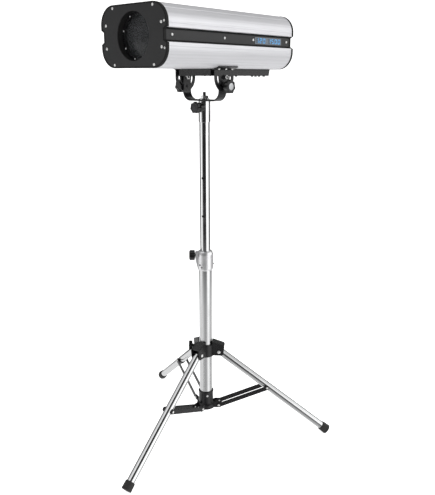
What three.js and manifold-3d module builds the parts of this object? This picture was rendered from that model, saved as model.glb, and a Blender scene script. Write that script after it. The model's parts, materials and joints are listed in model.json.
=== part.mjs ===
// Follow spot: a long lamp head that tilts in a U-shaped yoke, on a telescopic mast
// and a folding tripod base. Millimetres, +Z up. The lamp looks along -Y.
import * as THREE from "three";
import { mergeVertices } from "three/addons/utils/BufferGeometryUtils.js";
import Module from "manifold-3d";

// ---------------------------------------------------------------- driving dimensions
const GAP = 0.3; // between neighbouring pieces
const MAST_X = 30; // the mast axis, seen from the middle of the footprint
const MAST_Y = 74;

const HEAD = { width: 280, height: 177, corner: 56, front: -304.2, rear: 302.2, z: 1432, wall: 3 };
const CHANNEL = { half: 19, depth: 12, lip: 3 }; // recess along each side of the head
const PANEL = { half: 14, face: 129, step: 125.6, back: 123, flange: 24 };
const PLATE = 2.8; // front and rear end plates
const APERTURE = 68.8; // radius of the round opening in the front plate
const TILT_Z = 1317; // height of the tilt axis
const YOKE = { half: 82, thick: 5, width: 36, bottom: 1240.3, bend: 32 };
const BRACKET = { inner: 84.3, thick: 4, radius: 47, slotRadius: 29.5, slotWidth: 8.4,
  wingFrom: -57, wingTo: 38 };
const TRAY = { half: 70, front: -48, rear: 270, bottom: 1321, wall: 1.5, slant: 6 };

const POLE = { radius: 17.5, wall: 1.5, bottom: 540, top: 1232 };
const TUBE = { radius: 23.6, wall: 1.5, bottom: 101, top: 688 };
const SLEEVE = { radius: 19.8, bore: 17.9, bottom: 1171, top: 1240 };
const CLAMP = { bottom: 649, top: 720, radius: 28 };
const CLAMP_AZIMUTH = 222; // side on which the height lock sits
const COLLAR_AZIMUTH = 217.5; // side on which the collar lock sits, midway between two legs
const PIN_AZIMUTH = -75; // side on which the height holes open
const PIN_HOLES = [663, 848, 982]; // the lowest one also goes through the clamp
const STUD = 4; // radius of every knob's stud
const THREAD = 4.4; // radius of the hole a stud goes into
const PIN = 3.1; // radius of a leg pin
const PIN_BORE = 3.4; // radius of the holes a leg pin goes through

const LEG_AZIMUTHS = [-82.5, 37.5, 157.5];
const PIVOT_R = 50; // radius of the leg pivots and of the brace pivots
const LEG_PIVOT_Z = 332;
const HUB_PIVOT_Z = 113;
const FOOT_R = 463.8; // radius at which a foot ends
const FOOT_Z = 12; // height of the middle of the foot's end
const LEG_RADIUS = 14;
const LEG_WALL = 1.5;
const FOOT_RADIUS = 18;
const CLIP_AT = 230; // from the leg pivot to the brace pivot, along the leg
const STRAP = { inner: 17.8, thick: 3, half: 8.2 };
const RIVET = { radius: 4.6, high: 2.2 };
const EAR = { inner: 14.6, thick: 2.8 };

const LEG_RUN = FOOT_R - PIVOT_R;
const LEG_DROP = LEG_PIVOT_Z - FOOT_Z;
const LEG_LENGTH = Math.hypot(LEG_RUN, LEG_DROP);
const LEG_ANGLE = Math.atan2(LEG_DROP, LEG_RUN);
const BRACE_RUN = CLIP_AT * Math.cos(LEG_ANGLE);
const BRACE_RISE = LEG_PIVOT_Z - CLIP_AT * Math.sin(LEG_ANGLE) - HUB_PIVOT_Z;
const BRACE_LENGTH = Math.hypot(BRACE_RUN, BRACE_RISE);
const BRACE_ANGLE = Math.atan2(BRACE_RISE, BRACE_RUN);

// ---------------------------------------------------------------- solids
const wasm = await Module();
wasm.setup();
const { PI, sin, cos } = Math;
const rad = THREE.MathUtils.degToRad;

function toSolid(geometry) {
  const bare = geometry.clone();
  bare.deleteAttribute("normal");
  bare.deleteAttribute("uv");
  const merged = mergeVertices(bare, 1e-4);
  const vertProperties = merged.attributes.position.array;
  const triVerts = new Uint32Array(merged.index.array);
  const made = new wasm.Manifold(new wasm.Mesh({ numProp: 3, vertProperties, triVerts }));
  if (made.volume() > 0) return made;
  for (let i = 0; i < triVerts.length; i += 3) {
    [triVerts[i + 1], triVerts[i + 2]] = [triVerts[i + 2], triVerts[i + 1]];
  }
  return new wasm.Manifold(new wasm.Mesh({ numProp: 3, vertProperties, triVerts }));
}

function toGeometry(solid) {
  const mesh = solid.getMesh();
  const geometry = new THREE.BufferGeometry();
  geometry.setAttribute("position", new THREE.BufferAttribute(mesh.vertProperties, 3));
  geometry.setIndex(new THREE.BufferAttribute(mesh.triVerts, 1));
  return geometry;
}

const join = (...parts) => toGeometry(parts.map(toSolid).reduce((a, b) => a.add(b)));
const cut = (body, ...tools) =>
  toGeometry(tools.map(toSolid).reduce((a, b) => a.subtract(b), toSolid(body)));

// ---------------------------------------------------------------- shapes
const box = (x0, x1, y0, y1, z0, z1) =>
  new THREE.BoxGeometry(x1 - x0, y1 - y0, z1 - z0).translate(
    (x0 + x1) / 2, (y0 + y1) / 2, (z0 + z1) / 2);

// Turns a solid made along +Z so that it lies along another axis.
const AXES = {
  x: new THREE.Matrix4().makeBasis(
    new THREE.Vector3(0, 1, 0), new THREE.Vector3(0, 0, 1), new THREE.Vector3(1, 0, 0)),
  y: new THREE.Matrix4().makeBasis(
    new THREE.Vector3(0, 0, 1), new THREE.Vector3(1, 0, 0), new THREE.Vector3(0, 1, 0)),
  z: new THREE.Matrix4(),
};

const rod = (radius, from, to, axis = "z", segments = 16) =>
  new THREE.CylinderGeometry(radius, radius, to - from, segments)
    .rotateX(PI / 2)
    .translate(0, 0, (from + to) / 2)
    .applyMatrix4(AXES[axis]);

// A solid of revolution from a closed profile of [radius, height] points.
const turned = (profile, axis = "z", segments = 24) =>
  new THREE.LatheGeometry(
    [...profile, profile[0]].map(([r, h]) => new THREE.Vector2(r, h)), segments)
    .rotateX(PI / 2)
    .applyMatrix4(AXES[axis]);

const pipe = (outer, inner, from, to, axis = "z", segments = 24) =>
  turned([[inner, from], [outer, from], [outer, to], [inner, to]], axis, segments);

function extrude(shape, depth, curveSegments = 6) {
  return new THREE.ExtrudeGeometry(shape, { depth, bevelEnabled: false, curveSegments });
}

// A shape drawn in X and Z, as a slab between two values of Y.
const slabXZ = (shape, y0, y1, curveSegments) =>
  extrude(shape, y1 - y0, curveSegments).rotateX(PI / 2).translate(0, y1, 0);

// A shape drawn in Y and Z, as a slab between two values of X.
const slabYZ = (shape, x0, x1, curveSegments) =>
  extrude(shape, x1 - x0, curveSegments).applyMatrix4(AXES.x).translate(x0, 0, 0);

const polygon = (points) => new THREE.Shape(points.map(([x, y]) => new THREE.Vector2(x, y)));

function roundRect(width, height, r, cx = 0, cy = 0) {
  const [a, b] = [width / 2 - r, height / 2 - r];
  const shape = new THREE.Shape();
  shape.absarc(cx + a, cy + b, r, 0, PI / 2);
  shape.absarc(cx - a, cy + b, r, PI / 2, PI);
  shape.absarc(cx - a, cy - b, r, PI, 1.5 * PI);
  shape.absarc(cx + a, cy - b, r, 1.5 * PI, 2 * PI);
  return shape;
}

// A bar with round ends between two points.
function capsule(x0, y0, x1, y1, r) {
  const along = Math.atan2(y1 - y0, x1 - x0);
  const shape = new THREE.Shape();
  shape.absarc(x1, y1, r, along - PI / 2, along + PI / 2);
  shape.absarc(x0, y0, r, along + PI / 2, along + 1.5 * PI);
  return shape;
}

// A star knob: a lobed head on a stud that points to -Z; its outer face is at z = 0.
function starKnob({ radius, thick, length, lobes = 7 }) {
  const outline = [];
  const steps = lobes * 5;
  for (let i = 0; i < steps; i += 1) {
    const angle = (i / steps) * 2 * PI;
    const r = radius * (0.93 + 0.07 * cos(lobes * angle));
    outline.push([r * cos(angle), r * sin(angle)]);
  }
  const head = extrude(polygon(outline), thick).translate(0, 0, -thick);
  const boss = rod(radius * 0.55, -thick - 1.8, -thick + 1);
  return join(head, boss, rod(STUD, -length, -thick, "z", 12));
}

// ---------------------------------------------------------------- scene graph
const LOOKS = {
  brushedAluminium: [0xd2d3d6, 0.34, 0.9],
  powderCoat: [0x3b3b3c, 0.62, 0.2],
  blackPaint: [0x1b1b1c, 0.5, 0.2],
  blackPlastic: [0x151515, 0.45, 0],
  castAluminium: [0xc9cacb, 0.4, 0.8],
  chrome: [0xd9dadc, 0.12, 1],
  rubber: [0x101010, 0.85, 0],
  glass: [0x8fa0a8, 0.05, 0],
  display: [0x2f6f9f, 0.25, 0],
  steel: [0xb5b7b9, 0.3, 1],
  plainAluminium: [0xa9abad, 0.45, 0.9],
};

function place(parent, name, geometry, look) {
  const [color, roughness, metalness] = LOOKS[look];
  const material = new THREE.MeshStandardMaterial({ color, roughness, metalness });
  const flat = toGeometry(toSolid(geometry)).toNonIndexed();
  flat.computeVertexNormals();
  const mesh = new THREE.Mesh(flat, material);
  mesh.name = name;
  parent.add(mesh);
  return mesh;
}

const followSpot = new THREE.Group();
followSpot.position.set(MAST_X, MAST_Y, 0);

// ---------------------------------------------------------------- stand base
const pinHole = (z, length) =>
  rod(4, -length, length, "x", 8).rotateZ(rad(PIN_AZIMUTH)).translate(0, 0, z);

function lowerTube() {
  const { radius, wall, bottom, top } = TUBE;
  return pipe(radius, radius - wall, bottom, top);
}

const CLAMP_KNOB = { z: 703, face: 57.5, radius: 18.5, thick: 20 };
const LUG = { reach: 35, half: 9, slope: 34 }; // the ear that takes the height lock

function heightClamp() {
  const bore = POLE.radius + 0.4;
  const socket = TUBE.radius + GAP;
  const seat = TUBE.top + GAP;
  const body = turned([
    [socket, CLAMP.bottom], [26, CLAMP.bottom], [CLAMP.radius, CLAMP.bottom + 6],
    [CLAMP.radius, CLAMP.top - 12], [CLAMP.radius - 2.5, CLAMP.top - 3],
    [CLAMP.radius - 5, CLAMP.top],
    [bore, CLAMP.top], [bore, seat], [socket, seat]]);
  const lug = slabXZ(polygon([
    [26, CLAMP.bottom], [LUG.reach, CLAMP.top - LUG.slope], [LUG.reach, CLAMP.top - 3],
    [26, CLAMP.top - 3]]), -LUG.half, LUG.half)
    .rotateZ(rad(CLAMP_AZIMUTH));
  const thread = rod(THREAD, bore - 2, LUG.reach + 5, "x", 12)
    .rotateZ(rad(CLAMP_AZIMUTH))
    .translate(0, 0, CLAMP_KNOB.z);
  const stud = rod(3.2, 26, 32, "x", 10).rotateZ(rad(40)).translate(0, 0, 671);
  return cut(join(body, lug, stud), thread, pinHole(PIN_HOLES[0], 40));
}

const HUB = { floor: 97, rim: 168, radius: 27, flange: 34.5, flangeTop: 117 };

function baseHub() {
  const { floor, rim, radius, flange, flangeTop } = HUB;
  const socket = TUBE.radius + GAP;
  const seat = TUBE.bottom - GAP;
  const body = turned([
    [6, floor], [flange - 5, floor], [flange, floor + 3], [flange, flangeTop - 2],
    [radius, flangeTop + 2], [radius, rim - 6], [radius + 1.5, rim - 4], [radius + 1.5, rim],
    [socket, rim], [socket, seat], [6, seat]]);
  const ear = capsule(16, HUB_PIVOT_Z, PIVOT_R, HUB_PIVOT_Z, 11);
  const parts = [body];
  const holes = [rod(socket, seat, rim + 1, "z", 24)];
  for (const azimuth of LEG_AZIMUTHS) {
    for (const from of [-EAR.inner - EAR.thick, EAR.inner]) {
      parts.push(slabXZ(ear, from, from + EAR.thick, 5).rotateZ(rad(azimuth)));
    }
    const hole = rod(3.3, -25, 25, "y", 8).translate(PIVOT_R, 0, HUB_PIVOT_Z);
    holes.push(hole.rotateZ(rad(azimuth)));
  }
  return cut(join(...parts), ...holes);
}

place(followSpot, "lower_tube", lowerTube(), "chrome");
place(followSpot, "height_clamp", heightClamp(), "castAluminium");
place(followSpot, "base_hub", baseHub(), "blackPaint");

function clampKnob() {
  const { radius, thick, face } = CLAMP_KNOB;
  const knob = starKnob({ radius, thick, length: face - POLE.radius - 0.8 });
  return knob.applyMatrix4(AXES.x).translate(face, 0, CLAMP_KNOB.z).rotateZ(rad(CLAMP_AZIMUTH));
}

place(followSpot, "clamp_knob", clampKnob(), "blackPlastic");

// ---------------------------------------------------------------- sliding collar
const COLLAR = { bottom: 314, top: 360, bore: TUBE.radius + 0.4, radius: 30 };
const ARM_INNER = LEG_RADIUS + 0.8; // half the space between a clevis arm's two cheeks
const ARM_WALL = 3;
const PIN_HEAD = { radius: 5.8, high: 2.4 };
const COLLAR_KNOB = { z: 350, reach: 57, half: 17, radius: 7, lean: 15 }; // a short bar on a stud

function legCollar() {
  const parts = [pipe(COLLAR.radius, COLLAR.bore, COLLAR.bottom, COLLAR.top)];
  const holes = [rod(COLLAR.bore, COLLAR.bottom - 20, COLLAR.top + 30, "z", 24)];
  const { top } = COLLAR;
  const cheek = polygon([
    [20, top], [27, top + 12], [68, top - 2], [70.5, top - 7], [66, 321], [61, 318], [20, 318]]);
  const roof = polygon([
    [20, top - 3], [24, top + 12], [27, top + 12], [68, top - 2], [67, top - 5], [27, top + 9]]);
  for (const azimuth of LEG_AZIMUTHS) {
    const arm = [slabXZ(roof, -ARM_INNER - 0.5, ARM_INNER + 0.5)];
    for (const from of [-ARM_INNER - ARM_WALL, ARM_INNER]) {
      arm.push(slabXZ(cheek, from, from + ARM_WALL));
    }
    parts.push(...arm.map((piece) => piece.rotateZ(rad(azimuth))));
    const hole = rod(PIN_BORE, -25, 25, "y", 8).translate(PIVOT_R, 0, LEG_PIVOT_Z);
    holes.push(hole.rotateZ(rad(azimuth)));
  }
  const boss = rod(11, 26, 40, "x", 16).rotateZ(rad(COLLAR_AZIMUTH)).translate(0, 0, COLLAR_KNOB.z);
  const thread = rod(THREAD, 20, 44, "x", 12).rotateZ(rad(COLLAR_AZIMUTH)).translate(0, 0, COLLAR_KNOB.z);
  return cut(join(...parts, boss), ...holes, thread);
}

function legPin() {
  const reach = ARM_INNER + ARM_WALL + GAP;
  return join(
    rod(PIN, -reach - 1, reach + 1, "y", 8),
    rod(PIN_HEAD.radius, reach, reach + PIN_HEAD.high, "y", 12),
    rod(PIN_HEAD.radius, -reach - PIN_HEAD.high, -reach, "y", 12));
}

function collarKnob() {
  const { z, reach, half, radius, lean } = COLLAR_KNOB;
  const bar = rod(radius, -half, half, "z", 12).translate(reach, 0, 0);
  const hub = rod(7.5, reach - 14, reach + 1, "x", 12);
  const stud = rod(STUD, TUBE.radius + 0.8, reach - 13, "x", 12);
  return join(bar, hub, stud).rotateX(rad(lean)).translate(0, 0, z).rotateZ(rad(COLLAR_AZIMUTH));
}

place(followSpot, "leg_collar", legCollar(), "blackPaint");
place(followSpot, "collar_knob", collarKnob(), "blackPlastic");

// ---------------------------------------------------------------- legs and braces
// A leg is made along +X from its pivot, then turned down to its deployed angle.
function legTube() {
  const tube = pipe(LEG_RADIUS, LEG_RADIUS - LEG_WALL, -13, LEG_LENGTH - 6, "x", 20);
  return cut(tube, rod(PIN_BORE, -20, 20, "y", 8));
}

function foot() {
  const end = LEG_LENGTH;
  const bore = LEG_RADIUS + GAP;
  const spigot = LEG_RADIUS - LEG_WALL - GAP;
  const body = turned([
    [0, end], [FOOT_RADIUS - 1.5, end], [FOOT_RADIUS, end - 1.5], [FOOT_RADIUS - 1, end - 30],
    [bore, end - 30], [bore, end - 5.5], [spigot, end - 5.5], [spigot, end - 24], [0, end - 24]],
    "x", 20);
  const floor = box(-60, 60, -40, 40, -60, 0).translate(FOOT_R - PIVOT_R, 0, -LEG_PIVOT_Z);
  return cut(body, floor.rotateY(-LEG_ANGLE));
}

// A saddle under the leg, with a boss on each side of it for the straps.
function legClip() {
  const ring = pipe(LEG_RADIUS + 2.6, LEG_RADIUS + GAP, -8, 8, "x", 24);
  const above = box(-9, 9, -20, 20, 5, 20);
  const bosses = rod(6.5, -STRAP.inner + 0.4, STRAP.inner - 0.4, "y", 12);
  const bore = rod(LEG_RADIUS + GAP, -12, 12, "x", 24);
  return cut(join(cut(ring, above), bosses), bore).translate(CLIP_AT, 0, 0);
}

// One strap from the hub pivot to the clip, with a rivet at each end.
function braceStrap(side) {
  const { inner, thick, half } = STRAP;
  const across = (from, to) => [Math.min(side * from, side * to), Math.max(side * from, side * to)];
  const strap = slabXZ(capsule(0, 0, BRACE_LENGTH, 0, half), ...across(inner, inner + thick), 5);
  const rivet = rod(RIVET.radius, ...across(inner + 1, inner + thick + RIVET.high), "y", 10);
  const shank = rod(3, ...across(EAR.inner + GAP, inner + 1), "y", 10);
  return join(strap, shank, rivet, rivet.clone().translate(BRACE_LENGTH, 0, 0));
}

LEG_AZIMUTHS.forEach((azimuth, index) => {
  const number = index + 1;
  const side = new THREE.Group();
  side.rotation.z = rad(azimuth);
  followSpot.add(side);

  const leg = new THREE.Group();
  leg.position.set(PIVOT_R, 0, LEG_PIVOT_Z);
  leg.rotation.y = LEG_ANGLE;
  side.add(leg);
  place(leg, `leg_tube_${number}`, legTube(), "chrome");
  place(leg, `leg_clip_${number}`, legClip(), "blackPaint");
  place(leg, `foot_${number}`, foot(), "rubber");

  const pin = place(side, `leg_pin_${number}`, legPin(), "steel");
  pin.position.set(PIVOT_R, 0, LEG_PIVOT_Z);

  const brace = new THREE.Group();
  brace.position.set(PIVOT_R, 0, HUB_PIVOT_Z);
  brace.rotation.y = -BRACE_ANGLE;
  side.add(brace);
  place(brace, `brace_strap_${number}_left`, braceStrap(1), "blackPaint");
  place(brace, `brace_strap_${number}_right`, braceStrap(-1), "blackPaint");
});

// ---------------------------------------------------------------- mast
function upperPole() {
  const { radius, wall, bottom, top } = POLE;
  return cut(pipe(radius, radius - wall, bottom, top), ...PIN_HOLES.map((z) => pinHole(z, 30)));
}

function polePlug() {
  const bore = POLE.radius - POLE.wall - GAP;
  return turned([
    [0, POLE.top - 30], [bore, POLE.top - 30], [bore, POLE.top + GAP],
    [POLE.radius, POLE.top + GAP], [POLE.radius, POLE.top + 2.3], [0, POLE.top + 2.3]]);
}

function slideBush() {
  const outer = TUBE.radius - TUBE.wall - 0.25;
  return pipe(outer, POLE.radius + GAP, POLE.bottom + 2, POLE.bottom + 36);
}

place(followSpot, "upper_pole", upperPole(), "chrome");
place(followSpot, "pole_plug", polePlug(), "blackPlastic");
place(followSpot, "slide_bush", slideBush(), "blackPlastic");

// ---------------------------------------------------------------- yoke
const MAST_KNOB = { z: 1220, face: 52, radius: 19.3, thick: 14 }; // locks the socket
const MAST_BOSS = { radius: 16, reach: 33 };
const LOCK_Z = TILT_Z - BRACKET.slotRadius; // height of the tilt lock studs
const ARM_INSIDE = YOKE.half - YOKE.thick;
const TILT_KNOB = { face: 118, radius: 22.5, thick: 17 };
const TOP_NUT = { radius: 13.5, high: 9 };
const TOP_WASHER = { radius: 17, high: 3 };

function yokeBar() {
  const { half, thick, bend, bottom, width } = YOKE;
  const outline = new THREE.Shape();
  const top = TILT_Z;
  outline.moveTo(half, top);
  outline.lineTo(half - thick, top);
  outline.absarc(half - bend, bottom + bend, bend - thick, 0, -PI / 2, true);
  outline.absarc(-half + bend, bottom + bend, bend - thick, -PI / 2, -PI, true);
  outline.lineTo(-half + thick, top);
  outline.lineTo(-half, top);
  outline.absarc(-half + bend, bottom + bend, bend, PI, 1.5 * PI);
  outline.absarc(half - bend, bottom + bend, bend, 1.5 * PI, 2 * PI);
  outline.closePath();
  const bar = slabXZ(outline, -width / 2, width / 2, 6);
  const parts = [bar];
  const holes = [rod(5.4, bottom - 2, bottom + thick + 2, "z", 12)];
  for (const side of [-1, 1]) {
    const [a, b] = side > 0 ? [half - thick, half] : [-half, -half + thick];
    parts.push(rod(width / 2, a, b, "x", 24).translate(0, 0, TILT_Z));
    holes.push(rod(4.3, a - 2, b + 2, "x", 12).translate(0, 0, TILT_Z));
    holes.push(rod(4.3, a - 2, b + 2, "x", 12).translate(0, 0, LOCK_Z));
  }
  return cut(join(...parts), ...holes);
}

function socketSleeve() {
  const { radius, bore, bottom, top } = SLEEVE;
  const cap = POLE.top + 2.3 + GAP;
  const body = turned([
    [bore, bottom], [radius, bottom], [radius, top], [5.4, top], [5.4, cap], [bore, cap]]);
  const boss = rod(MAST_BOSS.radius, -MAST_BOSS.reach, -16, "y").translate(0, 0, MAST_KNOB.z);
  const hole = rod(bore, bottom, cap, "z", 24);
  const thread = rod(THREAD, -MAST_BOSS.reach - 3, -14, "y", 12).translate(0, 0, MAST_KNOB.z);
  return cut(join(body, boss), hole, thread);
}

// The bolt through the socket's cap and the yoke, with its washer and nut.
function yokeBolt() {
  const seat = YOKE.bottom + YOKE.thick + GAP;
  const cap = POLE.top + 2.3 + GAP;
  const nut = seat + TOP_WASHER.high;
  return join(
    rod(5, cap + 0.6, nut + TOP_NUT.high + 12, "z", 12),
    rod(TOP_WASHER.radius, seat, nut, "z", 24),
    rod(TOP_NUT.radius, nut - 0.5, nut + TOP_NUT.high, "z", 6));
}

function pivotBolt(side) {
  const along = (r, from, to, segments) =>
    rod(r, Math.min(side * from, side * to), Math.max(side * from, side * to), "x", segments);
  const face = BRACKET.inner + BRACKET.thick + GAP;
  return join(
    along(4, ARM_INSIDE - 6, face + 8, 12),
    along(7.5, ARM_INSIDE - 5.5, ARM_INSIDE - GAP, 6),
    along(11, YOKE.half + GAP, BRACKET.inner - GAP, 20),
    along(8, face, face + 1.6, 20),
    along(6.4, face + 1.5, face + 6.5, 6)).translate(0, 0, TILT_Z);
}

function tiltKnob(side) {
  const { radius, thick, face } = TILT_KNOB;
  const knob = starKnob({ radius, thick, length: face - ARM_INSIDE + 3 });
  knob.applyMatrix4(AXES.x).translate(face, 0, 0);
  return (side > 0 ? knob : knob.rotateZ(PI)).translate(0, 0, LOCK_Z);
}

function mastKnob() {
  const { z, face, radius, thick } = MAST_KNOB;
  const knob = starKnob({ radius, thick, length: face - POLE.radius - 0.8 });
  return knob.applyMatrix4(AXES.y).rotateZ(PI).translate(0, -face, z);
}

place(followSpot, "yoke_bar", yokeBar(), "blackPaint");
place(followSpot, "socket_sleeve", socketSleeve(), "chrome");
place(followSpot, "yoke_bolt", yokeBolt(), "steel");
place(followSpot, "mast_knob", mastKnob(), "blackPlastic");
for (const [side, word] of [[1, "right"], [-1, "left"]]) {
  place(followSpot, `pivot_bolt_${word}`, pivotBolt(side), "steel");
  place(followSpot, `tilt_knob_${word}`, tiltKnob(side), "blackPlastic");
}

// ---------------------------------------------------------------- lamp head
const head = new THREE.Group();
head.position.z = HEAD.z;
followSpot.add(head);
const HALF_W = HEAD.width / 2;
const HALF_H = HEAD.height / 2;

// Half of the head's section, above the side channels.
function shellSection() {
  const { corner, wall } = HEAD;
  const [a, b] = [HALF_W - corner, HALF_H - corner];
  const inside = HALF_W - CHANNEL.depth;
  const low = CHANNEL.half;
  const high = CHANNEL.half + CHANNEL.lip;
  const shape = new THREE.Shape();
  shape.moveTo(inside, low);
  shape.lineTo(HALF_W, low);
  shape.absarc(a, b, corner, 0, PI / 2);
  shape.absarc(-a, b, corner, PI / 2, PI);
  shape.lineTo(-HALF_W, low);
  shape.lineTo(-inside, low);
  shape.lineTo(-inside, high);
  shape.lineTo(-HALF_W + wall, high);
  shape.absarc(-a, b, corner - wall, PI, PI / 2, true);
  shape.absarc(a, b, corner - wall, PI / 2, 0, true);
  shape.lineTo(HALF_W - wall, high);
  shape.lineTo(inside, high);
  shape.closePath();
  return shape;
}

const shell = () => slabXZ(shellSection(), HEAD.front, HEAD.rear, 9);

const WINDOW = { front: 104, rear: 250, half: 11, depth: 2 };
const FOCUS_SLOT = { from: -185, to: -35, half: 5 };
const FOCUS_AT = -110;

function sidePanel(side) {
  const { half, face, step, back, flange } = PANEL;
  const section = polygon([
    [back, -flange], [step, -flange], [step, -half], [face, -half],
    [face, half], [step, half], [step, flange], [back, flange]]);
  const panel = slabXZ(section, HEAD.front, HEAD.rear);
  const right = cut(panel, box(face - WINDOW.depth, face + 1,
    WINDOW.front, WINDOW.rear, -WINDOW.half, WINDOW.half));
  const slot = slabYZ(capsule(FOCUS_SLOT.from, 0, FOCUS_SLOT.to, 0, FOCUS_SLOT.half), -140, -110, 6);
  const left = cut(panel.rotateZ(PI).translate(0, HEAD.front + HEAD.rear, 0), slot);
  return side > 0 ? right : left;
}

const NOTCH = { mouth: 21, throat: 14.5, deep: 11 };

// The outline that both end plates share, notched where the side channels end.
function endOutline() {
  const { corner } = HEAD;
  const [a, b] = [HALF_W - corner, HALF_H - corner];
  const { mouth, throat, deep } = NOTCH;
  const notch = [[HALF_W, mouth], [HALF_W - deep, throat], [HALF_W - deep, -throat], [HALF_W, -mouth]];
  const shape = new THREE.Shape();
  shape.absarc(a, b, corner, 0, PI / 2);
  shape.absarc(-a, b, corner, PI / 2, PI);
  notch.forEach(([x, z]) => shape.lineTo(-x, z));
  shape.absarc(-a, -b, corner, PI, 1.5 * PI);
  shape.absarc(a, -b, corner, 1.5 * PI, 2 * PI);
  notch.forEach(([x, z]) => shape.lineTo(x, -z));
  return shape;
}

function frontPlate() {
  const y = HEAD.front - GAP;
  const blank = slabXZ(endOutline(), y - PLATE, y, 9);
  return cut(blank, rod(APERTURE, y - PLATE - 1, y + 1, "y", 48));
}

const VENT = { z: 18, half: 50, slots: 7 };
const PORTS = { z: -62, inletX: -82, switchX: -36, socketX: 14, dimmerX: 62 };

function rearPlate() {
  const y = HEAD.rear + GAP;
  const blank = slabXZ(endOutline(), y, y + PLATE, 9);
  const tools = [];
  for (let i = 0; i < VENT.slots; i += 1) {
    const z = VENT.z + VENT.half * ((2 * i) / (VENT.slots - 1) - 1);
    tools.push(slabXZ(capsule(-VENT.half, z, VENT.half, z, 3.4), y - 1, y + PLATE + 1, 2));
  }
  tools.push(slabXZ(roundRect(28, 21, 2, PORTS.inletX, PORTS.z), y - 1, y + PLATE + 1, 3));
  tools.push(slabXZ(roundRect(20, 13, 1, PORTS.switchX, PORTS.z), y - 1, y + PLATE + 1, 3));
  tools.push(rod(11, y - 1, y + PLATE + 1, "y", 16).translate(PORTS.socketX, 0, PORTS.z));
  tools.push(rod(4, y - 1, y + PLATE + 1, "y", 12).translate(PORTS.dimmerX, 0, PORTS.z));
  return cut(blank, ...tools);
}

place(head, "upper_shell", shell(), "brushedAluminium");
place(head, "lower_shell", shell().rotateY(PI), "brushedAluminium");
place(head, "side_panel_right", sidePanel(1), "powderCoat");
place(head, "side_panel_left", sidePanel(-1), "powderCoat");
place(head, "front_plate", frontPlate(), "powderCoat");
place(head, "rear_plate", rearPlate(), "blackPaint");

const display = box(PANEL.face - WINDOW.depth + GAP, PANEL.face + 0.2,
  WINDOW.front + GAP, WINDOW.rear - GAP, -WINDOW.half + GAP, WINDOW.half - GAP);
place(head, "display_window", display, "display");

// ---------------------------------------------------------------- brackets and tray under the head
function tiltBracket(side) {
  const { inner, thick, radius, slotRadius, slotWidth } = BRACKET;
  const tiltZ = TILT_Z - HEAD.z;
  const top = -HALF_H - GAP;
  const outline = new THREE.Shape();
  outline.moveTo(radius, top);
  outline.lineTo(-radius, top);
  outline.absarc(0, tiltZ, radius, PI, 2 * PI);
  outline.closePath();
  const plate = slabYZ(outline, inner, inner + thick, 12);

  // The top flange follows the round lower edge of the shell.
  const [cx, cz] = [HALF_W - HEAD.corner, HEAD.corner - HALF_H];
  const near = HEAD.corner + GAP;
  const flange = new THREE.Shape();
  flange.absarc(cx, cz, near + thick, -PI / 2, -PI / 3);
  flange.absarc(cx, cz, near, -PI / 3, -PI / 2, true);
  flange.closePath();
  const wing = slabXZ(flange, BRACKET.wingFrom, BRACKET.wingTo, 4);

  const arc = new THREE.Shape();
  const half = slotWidth / 2;
  arc.absarc(0, tiltZ, slotRadius + half, PI, 2 * PI);
  arc.absarc(slotRadius, tiltZ, half, 0, PI);
  arc.absarc(0, tiltZ, slotRadius - half, 2 * PI, PI, true);
  arc.absarc(-slotRadius, tiltZ, half, 0, PI);
  const slot = slabYZ(arc, inner - 1, inner + thick + 1, 8);
  const bore = rod(4.3, inner - 1, inner + thick + 1, "x", 12).translate(0, 0, tiltZ);
  const bracket = cut(join(plate, wing), slot, bore);
  return side > 0 ? bracket : bracket.rotateZ(PI);
}

function baseTray() {
  const { half, front, rear, bottom, wall, slant } = TRAY;
  const [low, high] = [bottom - HEAD.z, -HALF_H - GAP];
  const side = (dx, dEnd, dLow) => slabYZ(polygon([
    [front + dEnd, low + dLow], [rear - slant - dEnd, low + dLow],
    [rear - dEnd, high + (dLow ? 1 : 0)], [front + dEnd, high + (dLow ? 1 : 0)]]), -half + dx, half - dx);
  return cut(side(0, 0, 0), side(wall, wall, wall));
}

place(head, "tilt_bracket_right", tiltBracket(1), "blackPaint");
place(head, "tilt_bracket_left", tiltBracket(-1), "blackPaint");
place(head, "base_tray", baseTray(), "blackPaint");

// ---------------------------------------------------------------- optics
const BARREL = { outer: 73, inner: 70, rear: -185 };
const LENS_AT = -272;
const ROD = { x: 50, z: -58, radius: 4 };
const LED = { front: 30, half: 42, deep: 22 };

function lensTube() {
  const { outer, inner, rear } = BARREL;
  const front = HEAD.front + 0.2;
  return turned([
    [outer, front], [outer, rear], [46, rear], [46, rear - 3], [inner, rear - 3],
    [inner, LENS_AT - 9.3], [64, LENS_AT - 9.3], [64, LENS_AT - 12], [inner, LENS_AT - 12],
    [inner, front]], "y", 36);
}

// A lens of two spherical faces round the optical axis.
function lens(radius, edge, bulge, y) {
  const rise = (t) => bulge * (1 - t * t);
  const steps = [0, 0.4, 0.75, 1];
  const front = steps.map((t) => [t * radius, y - edge / 2 - rise(t)]);
  const back = steps.map((t) => [t * radius, y + edge / 2 + rise(t)]);
  return turned([...front, ...back.reverse()], "y", 28);
}

function focusCarriage() {
  const y = FOCUS_AT;
  const frame = slabXZ(roundRect(150, 140, 20), y - 5, y + 5, 3);
  const arm = box(-PANEL.back + 2, -70, y - 5, y + 5, -5, 5);
  const tools = [rod(38.3, y - 6, y + 6, "y", 28)];
  for (const x of [-ROD.x, ROD.x]) {
    tools.push(rod(ROD.radius + 0.2, y - 6, y + 6, "y", 8).translate(x, 0, ROD.z));
  }
  const lip = pipe(41, 34, y + 4.5, y + 9, "y", 28);
  const shaft = rod(3.2, -PANEL.back - 1, -100, "x", 10).translate(0, y, 0);
  return cut(join(frame, arm, lip), ...tools, shaft);
}

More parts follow.
